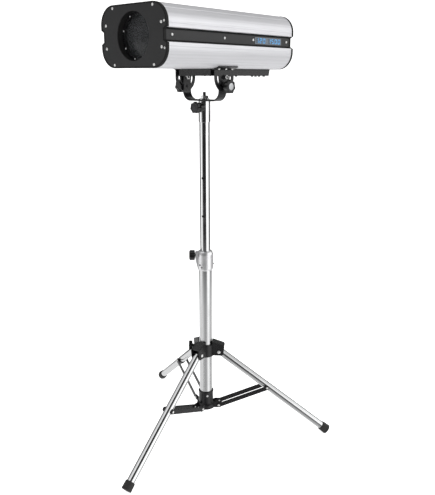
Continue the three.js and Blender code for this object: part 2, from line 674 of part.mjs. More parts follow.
function focusKnob() {
  const stem = rod(2.9, -PANEL.face - 3, -102, "x", 10);
  const cap = turned([[0, -138], [7, -138], [9, -136], [9, -PANEL.face - 1.2], [0, -PANEL.face - 1.2]],
    "x", 20);
  return join(stem, cap).translate(0, FOCUS_AT, 0);
}

// Two guide rods between a ring at the back of the lens tube and a bulkhead that holds the lamp.
function opticsFrame() {
  const from = BARREL.rear + GAP;
  const ring = cut(
    slabXZ(roundRect(150, 140, 20), from, from + 4, 3), rod(46, from - 1, from + 5, "y", 28));
  const bulkhead = cut(
    slabXZ(roundRect(240, 168, 50), LED.front - 4.3, LED.front - GAP, 4),
    rod(30, LED.front - 6, LED.front + 2, "y", 28));
  const rods = [-ROD.x, ROD.x].map((x) =>
    rod(ROD.radius, from + 1, LED.front - 1, "y", 8).translate(x, 0, ROD.z));
  return join(ring, bulkhead, ...rods);
}

function ledModule() {
  const { front, half } = LED;
  return join(
    box(-half, half, front, front + LED.deep, -half, half),
    rod(20, front - 3, front + 1, "y", 24));
}

const SINK = { half: 56.5, base: 8, deep: 105, fins: 12, finHalf: 1.5, spread: 110, high: 110 };

function heatSink() {
  const { half, base, deep, fins, finHalf, spread, high } = SINK;
  const front = LED.front + LED.deep + GAP;
  const points = [[-half, front], [half, front]];
  for (let i = fins - 1; i >= 0; i -= 1) {
    const x = spread * (i / (fins - 1) - 0.5);
    if (i < fins - 1) points.push([x + finHalf, front + base]);
    points.push([x + finHalf, front + deep], [x - finHalf, front + deep]);
    if (i > 0) points.push([x - finHalf, front + base]);
  }
  return extrude(polygon(points), high).translate(0, 0, -high / 2);
}

const FAN = { front: LED.front + LED.deep + SINK.deep + 2 * GAP, deep: 25, radius: 51 };

function fanFrame() {
  const { front, deep, radius } = FAN;
  const rear = front + deep;
  const frame = cut(
    slabXZ(roundRect(112, 112, 5), front, rear, 3), rod(radius, front - 1, rear + 1, "y", 32));
  const struts = [0, 1, 2].map((i) =>
    box(0, radius + 1, rear - 3, rear, -2.5, 2.5).rotateY((i * 2 * PI) / 3 + 0.5));
  return join(frame, rod(18, rear - 3, rear, "y", 20), ...struts);
}

function fanRotor() {
  const { front, deep, radius } = FAN;
  const hub = rod(18, front + 3, front + deep - 4, "y", 20);
  const blades = [];
  for (let i = 0; i < 7; i += 1) {
    const blade = box(15, radius - 2, -1, 1, -9, 9).rotateX(rad(48));
    blades.push(blade.translate(0, front + 12, 0).rotateY((i * 2 * PI) / 7));
  }
  return join(hub, ...blades);
}

function powerSupply() {
  const outer = box(68, 118, 50, 230, -20, 62);
  return cut(outer, box(69.5, 116.5, 40, 228.5, -18.5, 60.5));
}

place(head, "lens_tube", lensTube(), "blackPaint");
place(head, "front_lens", lens(BARREL.inner - GAP, 6, 6, LENS_AT), "glass");
place(head, "optics_frame", opticsFrame(), "plainAluminium");
place(head, "focus_carriage", focusCarriage(), "plainAluminium");
place(head, "focus_lens", lens(38, 4, 5, FOCUS_AT), "glass");
place(head, "focus_knob", focusKnob(), "blackPlastic");
place(head, "led_module", ledModule(), "plainAluminium");
place(head, "heat_sink", heatSink(), "plainAluminium");
place(head, "fan_frame", fanFrame(), "blackPlastic");
place(head, "fan_rotor", fanRotor(), "blackPlastic");
place(head, "power_supply", powerSupply(), "plainAluminium");

// ---------------------------------------------------------------- rear controls
const REAR_FACE = HEAD.rear + GAP + PLATE;

function powerInlet() {
  const flange = slabXZ(roundRect(34, 27, 3, PORTS.inletX, PORTS.z), REAR_FACE + GAP, REAR_FACE + 3, 3);
  const body = slabXZ(roundRect(27, 20, 2, PORTS.inletX, PORTS.z), REAR_FACE - 24, REAR_FACE + 2, 3);
  const well = slabXZ(roundRect(23, 15, 3, PORTS.inletX, PORTS.z), REAR_FACE - 14, REAR_FACE + 4, 3);
  const pins = [-7, 0, 7].map((dx) =>
    box(-1, 1, REAR_FACE - 16, REAR_FACE - 2, -2.4, 2.4).translate(PORTS.inletX + dx, 0, PORTS.z));
  return join(cut(join(flange, body), well), ...pins);
}

function powerSwitch() {
  const { switchX, z } = PORTS;
  const rocker = polygon([
    [REAR_FACE - 5, -5], [REAR_FACE + 1, -5], [REAR_FACE + 3.5, 5], [REAR_FACE - 5, 5]]);
  return slabYZ(rocker, -9, 9).translate(switchX, 0, z);
}

function signalSocket() {
  const { socketX, z } = PORTS;
  const flange = slabXZ(roundRect(26, 31, 3, socketX, z), REAR_FACE + GAP, REAR_FACE + 2.6, 3);
  const body = rod(10.6, REAR_FACE - 20, REAR_FACE + 1, "y", 16).translate(socketX, 0, z);
  const well = rod(8.5, REAR_FACE - 14, REAR_FACE + 4, "y", 16).translate(socketX, 0, z);
  const pins = [90, 210, 330].map(rad).map((angle) =>
    rod(1.3, REAR_FACE - 16, REAR_FACE - 4, "y", 6)
      .translate(socketX + 4.6 * cos(angle), 0, z + 4.6 * sin(angle)));
  return join(cut(join(flange, body), well), ...pins);
}

function dimmerKnob() {
  const knob = turned([
    [0, REAR_FACE - 8], [3.6, REAR_FACE - 8], [3.6, REAR_FACE + 1], [10, REAR_FACE + 1],
    [9, REAR_FACE + 14], [7.5, REAR_FACE + 15.5], [0, REAR_FACE + 15.5]], "y", 20);
  const pointer = box(-1, 1, REAR_FACE + 8, REAR_FACE + 16.2, 2, 8.6);
  return join(knob, pointer).translate(PORTS.dimmerX, 0, PORTS.z);
}

place(head, "power_inlet", powerInlet(), "blackPlastic");
place(head, "power_switch", powerSwitch(), "blackPlastic");
place(head, "signal_socket", signalSocket(), "blackPlastic");
place(head, "dimmer_knob", dimmerKnob(), "blackPlastic");

export default followSpot;
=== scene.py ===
"""Follow spot on a telescopic tripod stand: its looks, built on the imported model's frame.

Detail shapes are drawn in millimetres from the foot of the mast and moved to the row frame by add().
"""
import json
from math import atan2, cos, degrees, hypot, pi, radians, sin

import bmesh
import bpy
from mathutils import Matrix, Vector


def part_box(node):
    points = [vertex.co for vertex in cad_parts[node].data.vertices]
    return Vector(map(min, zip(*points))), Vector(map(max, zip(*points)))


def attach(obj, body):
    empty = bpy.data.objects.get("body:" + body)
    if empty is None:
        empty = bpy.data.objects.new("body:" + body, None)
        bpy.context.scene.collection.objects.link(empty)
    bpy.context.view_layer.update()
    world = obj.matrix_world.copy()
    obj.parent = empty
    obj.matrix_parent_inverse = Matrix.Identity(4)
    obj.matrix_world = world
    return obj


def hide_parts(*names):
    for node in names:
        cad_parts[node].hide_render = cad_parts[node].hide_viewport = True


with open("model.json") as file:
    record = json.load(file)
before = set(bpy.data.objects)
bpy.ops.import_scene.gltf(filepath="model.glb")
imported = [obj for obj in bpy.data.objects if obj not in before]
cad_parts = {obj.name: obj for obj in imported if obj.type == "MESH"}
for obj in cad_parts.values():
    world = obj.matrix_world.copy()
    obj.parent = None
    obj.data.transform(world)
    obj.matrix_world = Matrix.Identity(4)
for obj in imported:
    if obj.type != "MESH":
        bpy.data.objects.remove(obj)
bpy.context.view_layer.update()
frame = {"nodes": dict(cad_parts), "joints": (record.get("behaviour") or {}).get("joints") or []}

MM = 0.001

# ------------------------------------------------------------------ places taken from the frame
JOINTS = {joint["name"]: joint for joint in frame["joints"]}
low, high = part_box("upper_pole")
MAST = Vector(((low.x + high.x) / 2, (low.y + high.y) / 2, 0))
TO_ROW = Matrix.Translation(MAST) @ Matrix.Scale(MM, 4)


def span(node):
    """Lowest and highest corner of a CAD node, in millimetres from the foot of the mast."""
    low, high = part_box(node)
    return (low - MAST) / MM, (high - MAST) / MM


def pivot(joint):
    """A joint's point, in millimetres from the foot of the mast."""
    return (Vector(JOINTS[joint]["pos_m"]) - MAST) / MM


def middle(node):
    """The middle of a CAD node's box, in millimetres from the foot of the mast."""
    low, high = span(node)
    return (low + high) / 2


def arm(joint):
    """A pivot out on one of the three arms: its point, its reach from the mast and its azimuth."""
    point = pivot(joint)
    return point, hypot(point.x, point.y), atan2(point.y, point.x)


SHELL_LOW, SHELL_HIGH = span("upper_shell")
HEAD_Z = (SHELL_HIGH.z + span("lower_shell")[0].z) / 2
HALF_W = (SHELL_HIGH.x - SHELL_LOW.x) / 2
HALF_H = SHELL_HIGH.z - HEAD_Z
HEAD_FRONT, HEAD_REAR = SHELL_LOW.y, SHELL_HIGH.y
CORNER = 56
ARMS = (1, 2, 3)
TILT_Z = pivot("head_tilt").z
POLE_LOW, POLE_HIGH = span("upper_pole")
POLE_R = POLE_HIGH.x
TUBE_LOW, TUBE_HIGH = span("lower_tube")
TUBE_R = TUBE_HIGH.x
PIN_AZIMUTH = radians(-75)
PIN_HOLES = (663, 848, 982)


# ------------------------------------------------------------------ camera
PITCH, HEADING = 15.71, 40.97
eye = bpy.data.cameras.new("camera")
eye.sensor_width = 36
eye.lens = 44.31
camera = bpy.data.objects.new("camera", eye)
camera.location = MAST + Vector((1.4072, -1.5537, 1.3202))
camera.rotation_euler = (radians(90 - PITCH), 0, radians(HEADING))
bpy.context.scene.collection.objects.link(camera)
bpy.context.scene.camera = camera


# ------------------------------------------------------------------ node graphs
class Nodes:
    """A node tree, with short calls for the nodes used here."""

    def __init__(self, tree):
        self.tree = tree

    def add(self, kind, **settings):
        node = self.tree.nodes.new(kind)
        for key, value in settings.items():
            setattr(node, key, value)
        return node

    def link(self, source, target):
        self.tree.links.new(source, target)

    def between(self, fac, low, high, start=0.3, end=0.7):
        """A number from low to high as fac goes from start to end."""
        node = self.add("ShaderNodeMapRange")
        for key, value in (("From Min", start), ("From Max", end), ("To Min", low), ("To Max", high)):
            node.inputs[key].default_value = value
        self.link(fac, node.inputs["Value"])
        return node.outputs["Result"]

    def mix(self, fac, first, second):
        """One colour where fac is 0 and another where it is 1; a colour may be a socket."""
        node = self.add("ShaderNodeMix", data_type="RGBA")
        self.link(fac, node.inputs[0])
        for index, colour in ((6, first), (7, second)):
            if isinstance(colour, tuple):
                node.inputs[index].default_value = (*colour, 1)
            else:
                self.link(colour, node.inputs[index])
        return node.outputs[2]


class Graph(Nodes):
    """The nodes of a material."""

    def __init__(self, name):
        self.material = bpy.data.materials.new(name)
        self.material.use_nodes = True
        super().__init__(self.material.node_tree)
        self.shader = self.tree.nodes["Principled BSDF"]
        self.place = self.add("ShaderNodeTexCoord").outputs["Object"]

    def noise(self, scale, detail=3.0, stretch=(1, 1, 1), rough=0.55):
        """Noise with features of about 1 / scale metres, longer along the axes with a small stretch."""
        mapping = self.add("ShaderNodeMapping")
        mapping.inputs["Scale"].default_value = stretch
        self.link(self.place, mapping.inputs["Vector"])
        noise = self.add("ShaderNodeTexNoise")
        noise.inputs["Scale"].default_value = scale
        noise.inputs["Detail"].default_value = detail
        noise.inputs["Roughness"].default_value = rough
        self.link(mapping.outputs["Vector"], noise.inputs["Vector"])
        return noise.outputs["Fac"]

    def patches(self, fac, first, second):
        """Two colours, in the patches of a noise."""
        return self.mix(self.between(fac, 0.0, 1.0), first, second)

    def set(self, **values):
        for key, value in values.items():
            socket = self.shader.inputs[key.replace("_", " ")]
            if isinstance(value, (int, float)):
                socket.default_value = value
            elif isinstance(value, tuple):
                socket.default_value = (*value, 1)
            else:
                self.link(value, socket)

    def relief(self, *layers):
        """Bumps from (height socket, depth in metres) pairs, one on another."""
        before = None
        for height, depth in layers:
            bump = self.add("ShaderNodeBump")
            bump.inputs["Strength"].default_value = 1.0
            bump.inputs["Distance"].default_value = depth
            self.link(height, bump.inputs["Height"])
            if before:
                self.link(before, bump.inputs["Normal"])
            before = bump.outputs["Normal"]
        self.link(before, self.shader.inputs["Normal"])


def shade(colour, factor):
    return tuple(channel * factor for channel in colour)


# ------------------------------------------------------------------ materials
MATERIALS = {}


def surface(slot):
    """Makes the material that the function below it describes, and files it with that slot's name."""
    def make(describe):
        g = Graph(describe.__name__)
        describe(g)
        MATERIALS[describe.__name__] = (g.material, slot)
    return make


@surface("shell_aluminium")
def brushed_shell(g):
    """Satin aluminium, brushed along the head, with faint bands left by the extrusion."""
    fine = g.noise(1500, 2, stretch=(1, 0.004, 1))
    streak = g.noise(230, 3, stretch=(1, 0.006, 1))
    cloud = g.noise(9, 2)
    base = (0.64, 0.64, 0.66)
    tone = g.mix(g.between(streak, 0.0, 1.0, 0.3, 0.7), shade(base, 0.86), shade(base, 1.03))
    g.set(
        Base_Color=g.mix(g.between(fine, 0.0, 0.6, 0.3, 0.7), tone, shade(base, 1.1)),
        Metallic=0.7,
        Roughness=g.between(cloud, 0.44, 0.52),
        Anisotropic=0.4,
    )
    g.relief((fine, 0.00002), (streak, 0.00008))


@surface("powder_coat")
def powder_coat(g):
    """Charcoal powder coat with a fine orange peel."""
    peel = g.noise(900, 3)
    cloud = g.noise(14, 3)
    base = (0.010, 0.010, 0.0105)
    g.set(
        Base_Color=g.patches(cloud, shade(base, 0.88), shade(base, 1.12)),
        Specular_IOR_Level=0.44,
        Roughness=g.between(peel, 0.40, 0.55),
    )
    g.relief((peel, 0.00008))


def worn_edges(g, paint, metal, amount=0.6):
    """Paint that has rubbed through along the sharpest edges."""
    edge = g.add("ShaderNodeNewGeometry").outputs["Pointiness"]
    patch = g.noise(160, 4)
    rubbed = g.add("ShaderNodeMath", operation="MULTIPLY")
    g.link(g.between(edge, 0.0, amount, 0.56, 0.66), rubbed.inputs[0])
    g.link(g.between(patch, 0.0, 1.0, 0.45, 0.65), rubbed.inputs[1])
    return g.mix(rubbed.outputs[0], paint, metal)


@surface("black_paint")
def black_paint(g):
    """Semi-gloss black paint over steel, a little uneven."""
    peel = g.noise(600, 3)
    cloud = g.noise(30, 3)
    base = (0.005, 0.005, 0.0055)
    tone = g.patches(cloud, shade(base, 0.8), shade(base, 1.5))
    g.set(
        Base_Color=worn_edges(g, tone, (0.05, 0.05, 0.05)),
        Specular_IOR_Level=0.42,
        Roughness=g.between(peel, 0.2, 0.34),
    )
    g.relief((peel, 0.00005))


@surface("black_plastic")
def black_plastic(g):
    """Moulded black plastic with a fine spark-eroded grain."""
    grain = g.noise(1500, 2)
    cloud = g.noise(60, 2)
    base = (0.005, 0.005, 0.005)
    g.set(
        Base_Color=g.patches(cloud, base, shade(base, 1.6)),
        Roughness=g.between(grain, 0.2, 0.34),
    )
    g.relief((grain, 0.00003))


@surface("black_paint")
def lens_black(g):
    """Flat black, as inside a lens barrel."""
    grain = g.noise(1200, 2)
    g.set(
        Base_Color=g.patches(grain, (0.004, 0.004, 0.004), (0.009, 0.009, 0.009)),
        Roughness=g.between(grain, 0.5, 0.7),
        Specular_IOR_Level=0.2,
    )
    g.relief((grain, 0.00004))


@surface("cast_aluminium")
def cast_silver(g):
    """Silver lacquer over a tumbled casting."""
    pits = g.noise(420, 4)
    cloud = g.noise(45, 3)
    base = (0.80, 0.80, 0.81)
    g.set(
        Base_Color=g.patches(cloud, shade(base, 0.86), base),
        Metallic=0.85,
        Roughness=g.between(pits, 0.26, 0.4),
    )
    g.relief((pits, 0.00009))


@surface("chrome")
def chrome(g):
    """Bright chrome plate with faint drawing lines along the tubes and a few smudges."""
    lines = g.noise(1500, 2, stretch=(1, 1, 0.02))
    smudge = g.noise(26, 4)
    base = (0.74, 0.745, 0.75)
    g.set(
        Base_Color=g.patches(smudge, shade(base, 0.93), base),
        Metallic=1.0,
        Roughness=g.between(smudge, 0.10, 0.19),
    )
    g.relief((lines, 0.000006))


@surface("rubber")
def rubber(g):
    """Matt black rubber, dusty in patches."""
    grain = g.noise(700, 4)
    dust = g.noise(50, 4)
    g.set(
        Base_Color=g.patches(dust, (0.010, 0.010, 0.010), (0.026, 0.025, 0.024)),
        Roughness=g.between(grain, 0.6, 0.8),
    )
    g.relief((grain, 0.0001))


@surface("lens_glass")
def lens_glass(g):
    """Coated glass with a dark grey tint, which is painted shade: it stands in for the shaded barrel seen
    through the lens.
    """
    smear = g.noise(22, 3)
    g.set(
        # the dark grey base colour is painted shade of the barrel behind the glass, not a real tint
        Base_Color=(0.24, 0.25, 0.26),
        Transmission_Weight=0.9,
        IOR=1.22,
        Roughness=g.between(smear, 0.0, 0.03),
    )


@surface("black_oxide")
def black_oxide(g):
    """Oiled black oxide on bolts and studs."""
    grain = g.noise(800, 3)
    base = (0.030, 0.030, 0.032)
    g.set(
        Base_Color=g.patches(grain, shade(base, 0.7), shade(base, 1.5)),
        Metallic=0.6,
        Roughness=g.between(grain, 0.24, 0.4),
    )
    g.relief((grain, 0.00003))


@surface("steel")
def screw_steel(g):
    """Bright zinc plate."""
    grain = g.noise(900, 3)
    base = (0.86, 0.86, 0.85)
    g.set(
        Base_Color=g.patches(grain, shade(base, 0.85), base),
        Metallic=0.65,
        Roughness=g.between(grain, 0.3, 0.45),
    )
    g.relief((grain, 0.00002))


@surface("plain_aluminium")
def plain_aluminium(g):
    """Mill-finished aluminium with rolling lines."""
    lines = g.noise(900, 2, stretch=(1, 0.03, 1))
    base = (0.56, 0.57, 0.58)
    g.set(
        Base_Color=g.patches(lines, shade(base, 0.88), base),
        Metallic=0.95,
        Roughness=g.between(lines, 0.34, 0.5),
    )
    g.relief((lines, 0.00003))


@surface("display")
def display_glass(g):
    """The smoked window in front of the display."""
    smear = g.noise(90, 3)
    g.set(
        Base_Color=g.patches(smear, (0.034, 0.052, 0.072), (0.046, 0.066, 0.090)),
        Roughness=g.between(smear, 0.12, 0.22),
        Coat_Weight=0.4,
    )


@surface("display")
def display_light(g):
    """Lit blue segments, a little uneven."""
    uneven = g.noise(140, 2)
    blue = g.patches(uneven, (0.01, 0.13, 0.32), (0.03, 0.24, 0.50))
    g.set(Base_Color=blue, Roughness=0.4, Emission_Color=blue, Emission_Strength=0.7)


@surface("display")
def display_dark(g):
    """Segments that are off, a little lighter than the glass."""
    uneven = g.noise(140, 2)
    g.set(
        Base_Color=g.patches(uneven, (0.01, 0.03, 0.055), (0.015, 0.045, 0.08)),
        Roughness=0.4,
    )


# ------------------------------------------------------------------ shapes, in millimetres
ALONG_X = Matrix(((0, 0, 1, 0), (1, 0, 0, 0), (0, 1, 0, 0), (0, 0, 0, 1)))
ALONG_Y = Matrix(((0, 1, 0, 0), (0, 0, 1, 0), (1, 0, 0, 0), (0, 0, 0, 1)))
UPRIGHT = Matrix.Rotation(pi / 2, 4, "X")  # a shape drawn in X and Y stands up in X and Z


def move(x=0.0, y=0.0, z=0.0):
    return Matrix.Translation((x, y, z))


def spin(angle, axis="Z"):
    return Matrix.Rotation(angle, 4, axis)


def placed(mesh, *steps):
    """The mesh after each matrix in turn, the last one first."""
    matrix = Matrix()
    for step in steps:
        matrix = matrix @ step
    mesh.transform(matrix)
    return mesh


def arc(x, y, radius, start, end, steps=12):
    """Points on a circle from one angle to another, in degrees."""
    angles = [radians(start + (end - start) * i / steps) for i in range(steps + 1)]
    return [(x + radius * cos(a), y + radius * sin(a)) for a in angles]


def round_rect(width, height, radius, x=0.0, y=0.0, steps=6):
    a, b = width / 2 - radius, height / 2 - radius
    return [
        *arc(x + a, y + b, radius, 0, 90, steps),
        *arc(x - a, y + b, radius, 90, 180, steps),
        *arc(x - a, y - b, radius, 180, 270, steps),
        *arc(x + a, y - b, radius, 270, 360, steps),
    ]


def capsule(x0, y0, x1, y1, radius, steps=12):
    along = degrees(atan2(y1 - y0, x1 - x0))
    return [*arc(x1, y1, radius, along - 90, along + 90, steps),
            *arc(x0, y0, radius, along + 90, along + 270, steps)]


def disc(radius, x=0.0, y=0.0, steps=48):
    return arc(x, y, radius, 0, 360 * (1 - 1 / steps), steps - 1)


def softened(points, radius, closed=True, steps=4):
    """The same outline with each corner turned into a short curve."""
    result = []
    last = len(points) - 1
    for i, point in enumerate(points):
        here = Vector(point)
        if not closed and i in (0, last):
            result.append(here)
            continue
        back = Vector(points[i - 1]) - here
        ahead = Vector(points[(i + 1) % len(points)]) - here
        reach = min(radius, 0.45 * back.length, 0.45 * ahead.length)
        start, end = here + back.normalized() * reach, here + ahead.normalized() * reach
        for k in range(steps + 1):
            t = k / steps
            result.append(start * (1 - t) ** 2 + here * 2 * t * (1 - t) + end * t ** 2)
    return result


def to_mesh(bm, name="shape"):
    bmesh.ops.remove_doubles(bm, verts=bm.verts, dist=1e-4)
    bmesh.ops.recalc_face_normals(bm, faces=bm.faces)
    mesh = bpy.data.meshes.new(name)
    bm.to_mesh(mesh)
    bm.free()
    return mesh


def turned(profile, edge=0.5, sides=96):
    """A solid of revolution about Z from [radius, height] points, its corners softened."""
    solid = profile[0][0] == 0
    bm = bmesh.new()
    rings = []
    for r, h in softened(profile, edge, closed=not solid):
        count = sides if r > 1e-6 else 1
        angles = [2 * pi * i / count for i in range(count)]
        rings.append([bm.verts.new((r * cos(a), r * sin(a), h)) for a in angles])
    for near, far in zip(rings, rings[1:] if solid else rings[1:] + rings[:1]):
        for i in range(sides):
            j = (i + 1) % sides
            corners = [near[i % len(near)], near[j % len(near)], far[j % len(far)], far[i % len(far)]]
            unique = list(dict.fromkeys(corners))
            if len(unique) > 2:
                bm.faces.new(unique)
    return to_mesh(bm)


def pipe(outer, inner, start, end, edge=0.4, sides=96):
    return turned([(inner, start), (outer, start), (outer, end), (inner, end)], edge, sides)


def rod(radius, start, end, edge=0.4, sides=48):
    return turned([(0, start), (radius, start), (radius, end), (0, end)], edge, sides)


def plate(outline, thick, holes=(), edge=0.4):
    """A plate in X and Y from z = 0 up to its thickness, with holes and softened edges."""
    curve = bpy.data.curves.new("outline", "CURVE")
    curve.dimensions = "2D"
    curve.fill_mode = "BOTH"
    curve.extrude = thick / 2 - edge
    curve.bevel_depth = edge
    curve.bevel_resolution = 2
    curve.offset = -edge
    for loop in (outline, *holes):
        spline = curve.splines.new("POLY")
        spline.points.add(len(loop) - 1)
        for point, (x, y) in zip(spline.points, loop):
            point.co = (x, y, 0, 1)
        spline.use_cyclic_u = True
    holder = bpy.data.objects.new("outline", curve)
    bm = bmesh.new()
    mesh = bpy.data.meshes.new_from_object(holder)
    bm.from_mesh(mesh)
    bpy.data.objects.remove(holder)
    bpy.data.curves.remove(curve)
    bpy.data.meshes.remove(mesh)
    return placed(to_mesh(bm), move(z=thick / 2))


def slab_y(outline, start, end, holes=(), edge=0.4):
    """A plate drawn in X and Z, from one value of Y to another."""
    return placed(plate(outline, end - start, holes, edge), move(y=end), UPRIGHT)


def slab_x(outline, start, end, holes=(), edge=0.4):
    """A plate drawn in Y and Z, from one value of X to another."""
    return placed(plate(outline, end - start, holes, edge), move(x=start), ALONG_X)


def block(x0, x1, y0, y1, z0, z1, edge=0.4):
    return placed(plate([(x0, y0), (x1, y0), (x1, y1), (x0, y1)], z1 - z0, (), edge), move(z=z0))


def merged(*meshes):
    bm = bmesh.new()
    for mesh in meshes:
        bm.from_mesh(mesh)
        bpy.data.meshes.remove(mesh)
    made = bpy.data.meshes.new("shape")
    bm.to_mesh(made)
    bm.free()
    return made


def boolean(mesh, tools, operation):
    holder = bpy.data.objects.new("body", mesh)
    bpy.context.scene.collection.objects.link(holder)
    cutters = []
    for tool in tools:
        cutter = bpy.data.objects.new("tool", tool)
        bpy.context.scene.collection.objects.link(cutter)
        modifier = holder.modifiers.new("cut", "BOOLEAN")
        modifier.operation = operation
        modifier.solver = "EXACT"
        modifier.object = cutter
        cutters.append(cutter)
    bpy.context.view_layer.update()
    graph = bpy.context.evaluated_depsgraph_get()
    made = bpy.data.meshes.new_from_object(holder.evaluated_get(graph))
    for item in (holder, *cutters):
        bpy.data.objects.remove(item)
    return made


def cut(mesh, *tools):
    return boolean(mesh, tools, "DIFFERENCE")


def fused(mesh, *others):
    return boolean(mesh, others, "UNION")


def add(name, mesh, finish, body, stands_for=(), sharp=38):
    """Puts a finished piece in the scene, on its body, in place of the CAD nodes it stands for."""
    material, slot = MATERIALS[finish]
    mesh.transform(TO_ROW)
    mesh.materials.clear()
    mesh.materials.append(material)
    for face in mesh.polygons:
        face.use_smooth = True
        face.material_index = 0
    mesh.set_sharp_from_angle(angle=radians(sharp))
    piece = bpy.data.objects.new(name, mesh)
    bpy.context.scene.collection.objects.link(piece)
    even = piece.modifiers.new("even_normals", "WEIGHTED_NORMAL")
    even.keep_sharp = True
    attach(piece, body)
    if stands_for:
        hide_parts(*stands_for)
    return piece


def refine(node, finish, edge=0.5):
    """A CAD node that keeps its shape, with softened edges and a finish."""
    material, _ = MATERIALS[finish]
    piece = frame["nodes"][node]
    piece.data.materials.clear()
    piece.data.materials.append(material)
    weld = piece.modifiers.new("weld", "WELD")
    weld.merge_threshold = 1e-5
    soft = piece.modifiers.new("edges", "BEVEL")
    soft.width = edge * MM
    soft.segments = 2
    soft.limit_method = "ANGLE"
    soft.angle_limit = radians(35)
    soft.harden_normals = False


# ------------------------------------------------------------------ repeated small parts
def screw(radius, height, recess="cross"):
    """A pan-head screw that stands up from z = 0, with a cross or a hexagon in its head."""
    head = turned([(0, -1), (radius, -1), (radius, height * 0.35), (radius * 0.62, height),
                   (0, height)], edge=radius * 0.3, sides=32)
    depth = height * 0.7
    if recess == "cross":
        arm = radius * 0.5
        half = radius * 0.11
        bars = [block(-arm, arm, -half, half, height - depth, height + 1, 0.02) for _ in range(2)]
        return cut(head, bars[0], placed(bars[1], spin(pi / 2)))
    corners = disc(radius * 0.42, steps=6)
    return cut(head, placed(plate(corners, depth + 1, (), 0.02), move(z=height - depth)))


def nut(radius, height):
    """A hexagonal nut or bolt head with turned corners."""
    blank = plate(disc(radius, steps=6), height, (), 0.2)
    cone = turned([(0, -1), (radius * 1.2, -1), (radius * 1.04, height * 0.6),
                   (radius * 0.86, height), (0, height)], edge=0.1, sides=48)
    return boolean(blank, [cone], "INTERSECT")


def fluted(radius, depth, flutes, steps):
    """A round outline with flutes of that depth, each drawn in so many steps."""
    points = []
    for i in range(flutes * steps):
        angle = 2 * pi * i / (flutes * steps)
        reach = radius - depth / 2 * (1 - cos(flutes * angle))
        points.append((reach * cos(angle), reach * sin(angle)))
    return points


def star_knob(radius, thick):
    """A fluted knob with its face just under z = 0, and a collar under it."""
    outline = fluted(radius, 0.15 * radius, 7, 14)
    body = placed(plate(outline, thick - 1.2, (), 2.2), move(z=-thick))
    collar = rod(radius * 0.55, -thick - 1.8, -thick + 1, 0.4, 64)
    return merged(body, collar)


def knob_cap(radius):
    """The round cap in the middle of a star knob's face."""
    return turned([(0, -2.5), (radius, -2.5), (radius, -0.9), (radius * 0.75, -0.3), (0, -0.2)], 0.4, 64)


def knob_ring(radius):
    """The raised ring round a star knob's cap."""
    return turned([(radius - 1.6, -2.5), (radius + 1.6, -2.5), (radius + 1.6, -0.6),
                   (radius + 0.9, 0), (radius - 0.9, 0), (radius - 1.6, -0.6)], 0.4, 64)


def rivet(radius, height):
    """A domed rivet head that stands up from z = 0."""
    dome = [(radius * cos(a), 0.3 + (height - 0.3) * sin(a)) for a in (0, 0.35, 0.7, 1.05, 1.35)]
    return turned([(0, -0.3), (radius, -0.3), *dome, (0, height)], 0.15, 40)


# ------------------------------------------------------------------ stand base
EAR_INNER, EAR_THICK = 14.6, 2.8
CLAMP_SCREW_Z = 671
STUD_R = 3.95


def height_clamp():
    low, high = span("height_clamp")
    bore, socket, seat = POLE_R + 0.4, TUBE_R + 0.3, TUBE_HIGH.z + 0.3
    body = turned([
        (socket, low.z), (26, low.z), (28, low.z + 6), (28, high.z - 12), (25.5, high.z - 3),
        (23, high.z), (bore, high.z), (bore, seat), (socket, seat)], 0.9)
    azimuth = atan2(*reversed(JOINTS["clamp_knob_turn"]["axis"][:2]))
    side = [(24, low.z), (26, low.z), (35, high.z - 34), (35, high.z - 3), (24, high.z - 3)]
    lug = placed(slab_y(softened(side, 3), -9, 9, (), 1.6), spin(azimuth))
    stud = placed(rod(3.2, 26, 32, 0.8), move(z=CLAMP_SCREW_Z), spin(radians(40)), ALONG_X)
    pin = placed(rod(4, -40, 40), move(z=PIN_HOLES[0]), spin(PIN_AZIMUTH), ALONG_X)
    casting = cut(fused(body, lug, stud), pin, rod(bore, seat - 9, high.z + 9),
                  rod(socket, low.z - 9, seat, 0.1, 96))
    add("height_clamp_casting", casting, "cast_silver", "base", ["height_clamp"])
    place = (spin(radians(-91.5)), move(27.6, 0, CLAMP_SCREW_Z), ALONG_X)
    grub = placed(screw(3.4, 1.6, "hex"), *place)
    add("height_clamp_grub_screw", grub, "black_oxide", "base")


def base_hub():
    low, high = span("base_hub")
    socket, seat, radius = TUBE_R + 0.3, TUBE_LOW.z - 0.3, 27
    body = turned([
        (6, low.z), (29.5, low.z), (34.5, low.z + 3), (34.5, low.z + 18), (radius, low.z + 22),
        (radius, high.z - 6), (28.5, high.z - 4), (28.5, high.z), (socket, high.z), (socket, seat),
        (6, seat)], 1.2)
    parts = [body]
    bolts = []
    for number in ARMS:
        joint, reach, azimuth = arm(f"brace_{number}_fold")
        for edge in (-EAR_INNER - EAR_THICK, EAR_INNER):
            side = capsule(35, joint.z, reach, joint.z, 11)
            ear = slab_y(side, edge, edge + EAR_THICK, [disc(3.3, reach, joint.z, 24)], 0.4)
            parts.append(placed(ear, spin(azimuth)))
        place = (spin(azimuth - radians(75)), move(radius, 0, high.z - 15), ALONG_X)
        bolts.append(placed(screw(4, 2.4), *place))
    add("base_hub_casting", merged(*parts), "black_paint", "base", ["base_hub"])
    add("base_hub_screws", merged(*bolts), "screw_steel", "base")


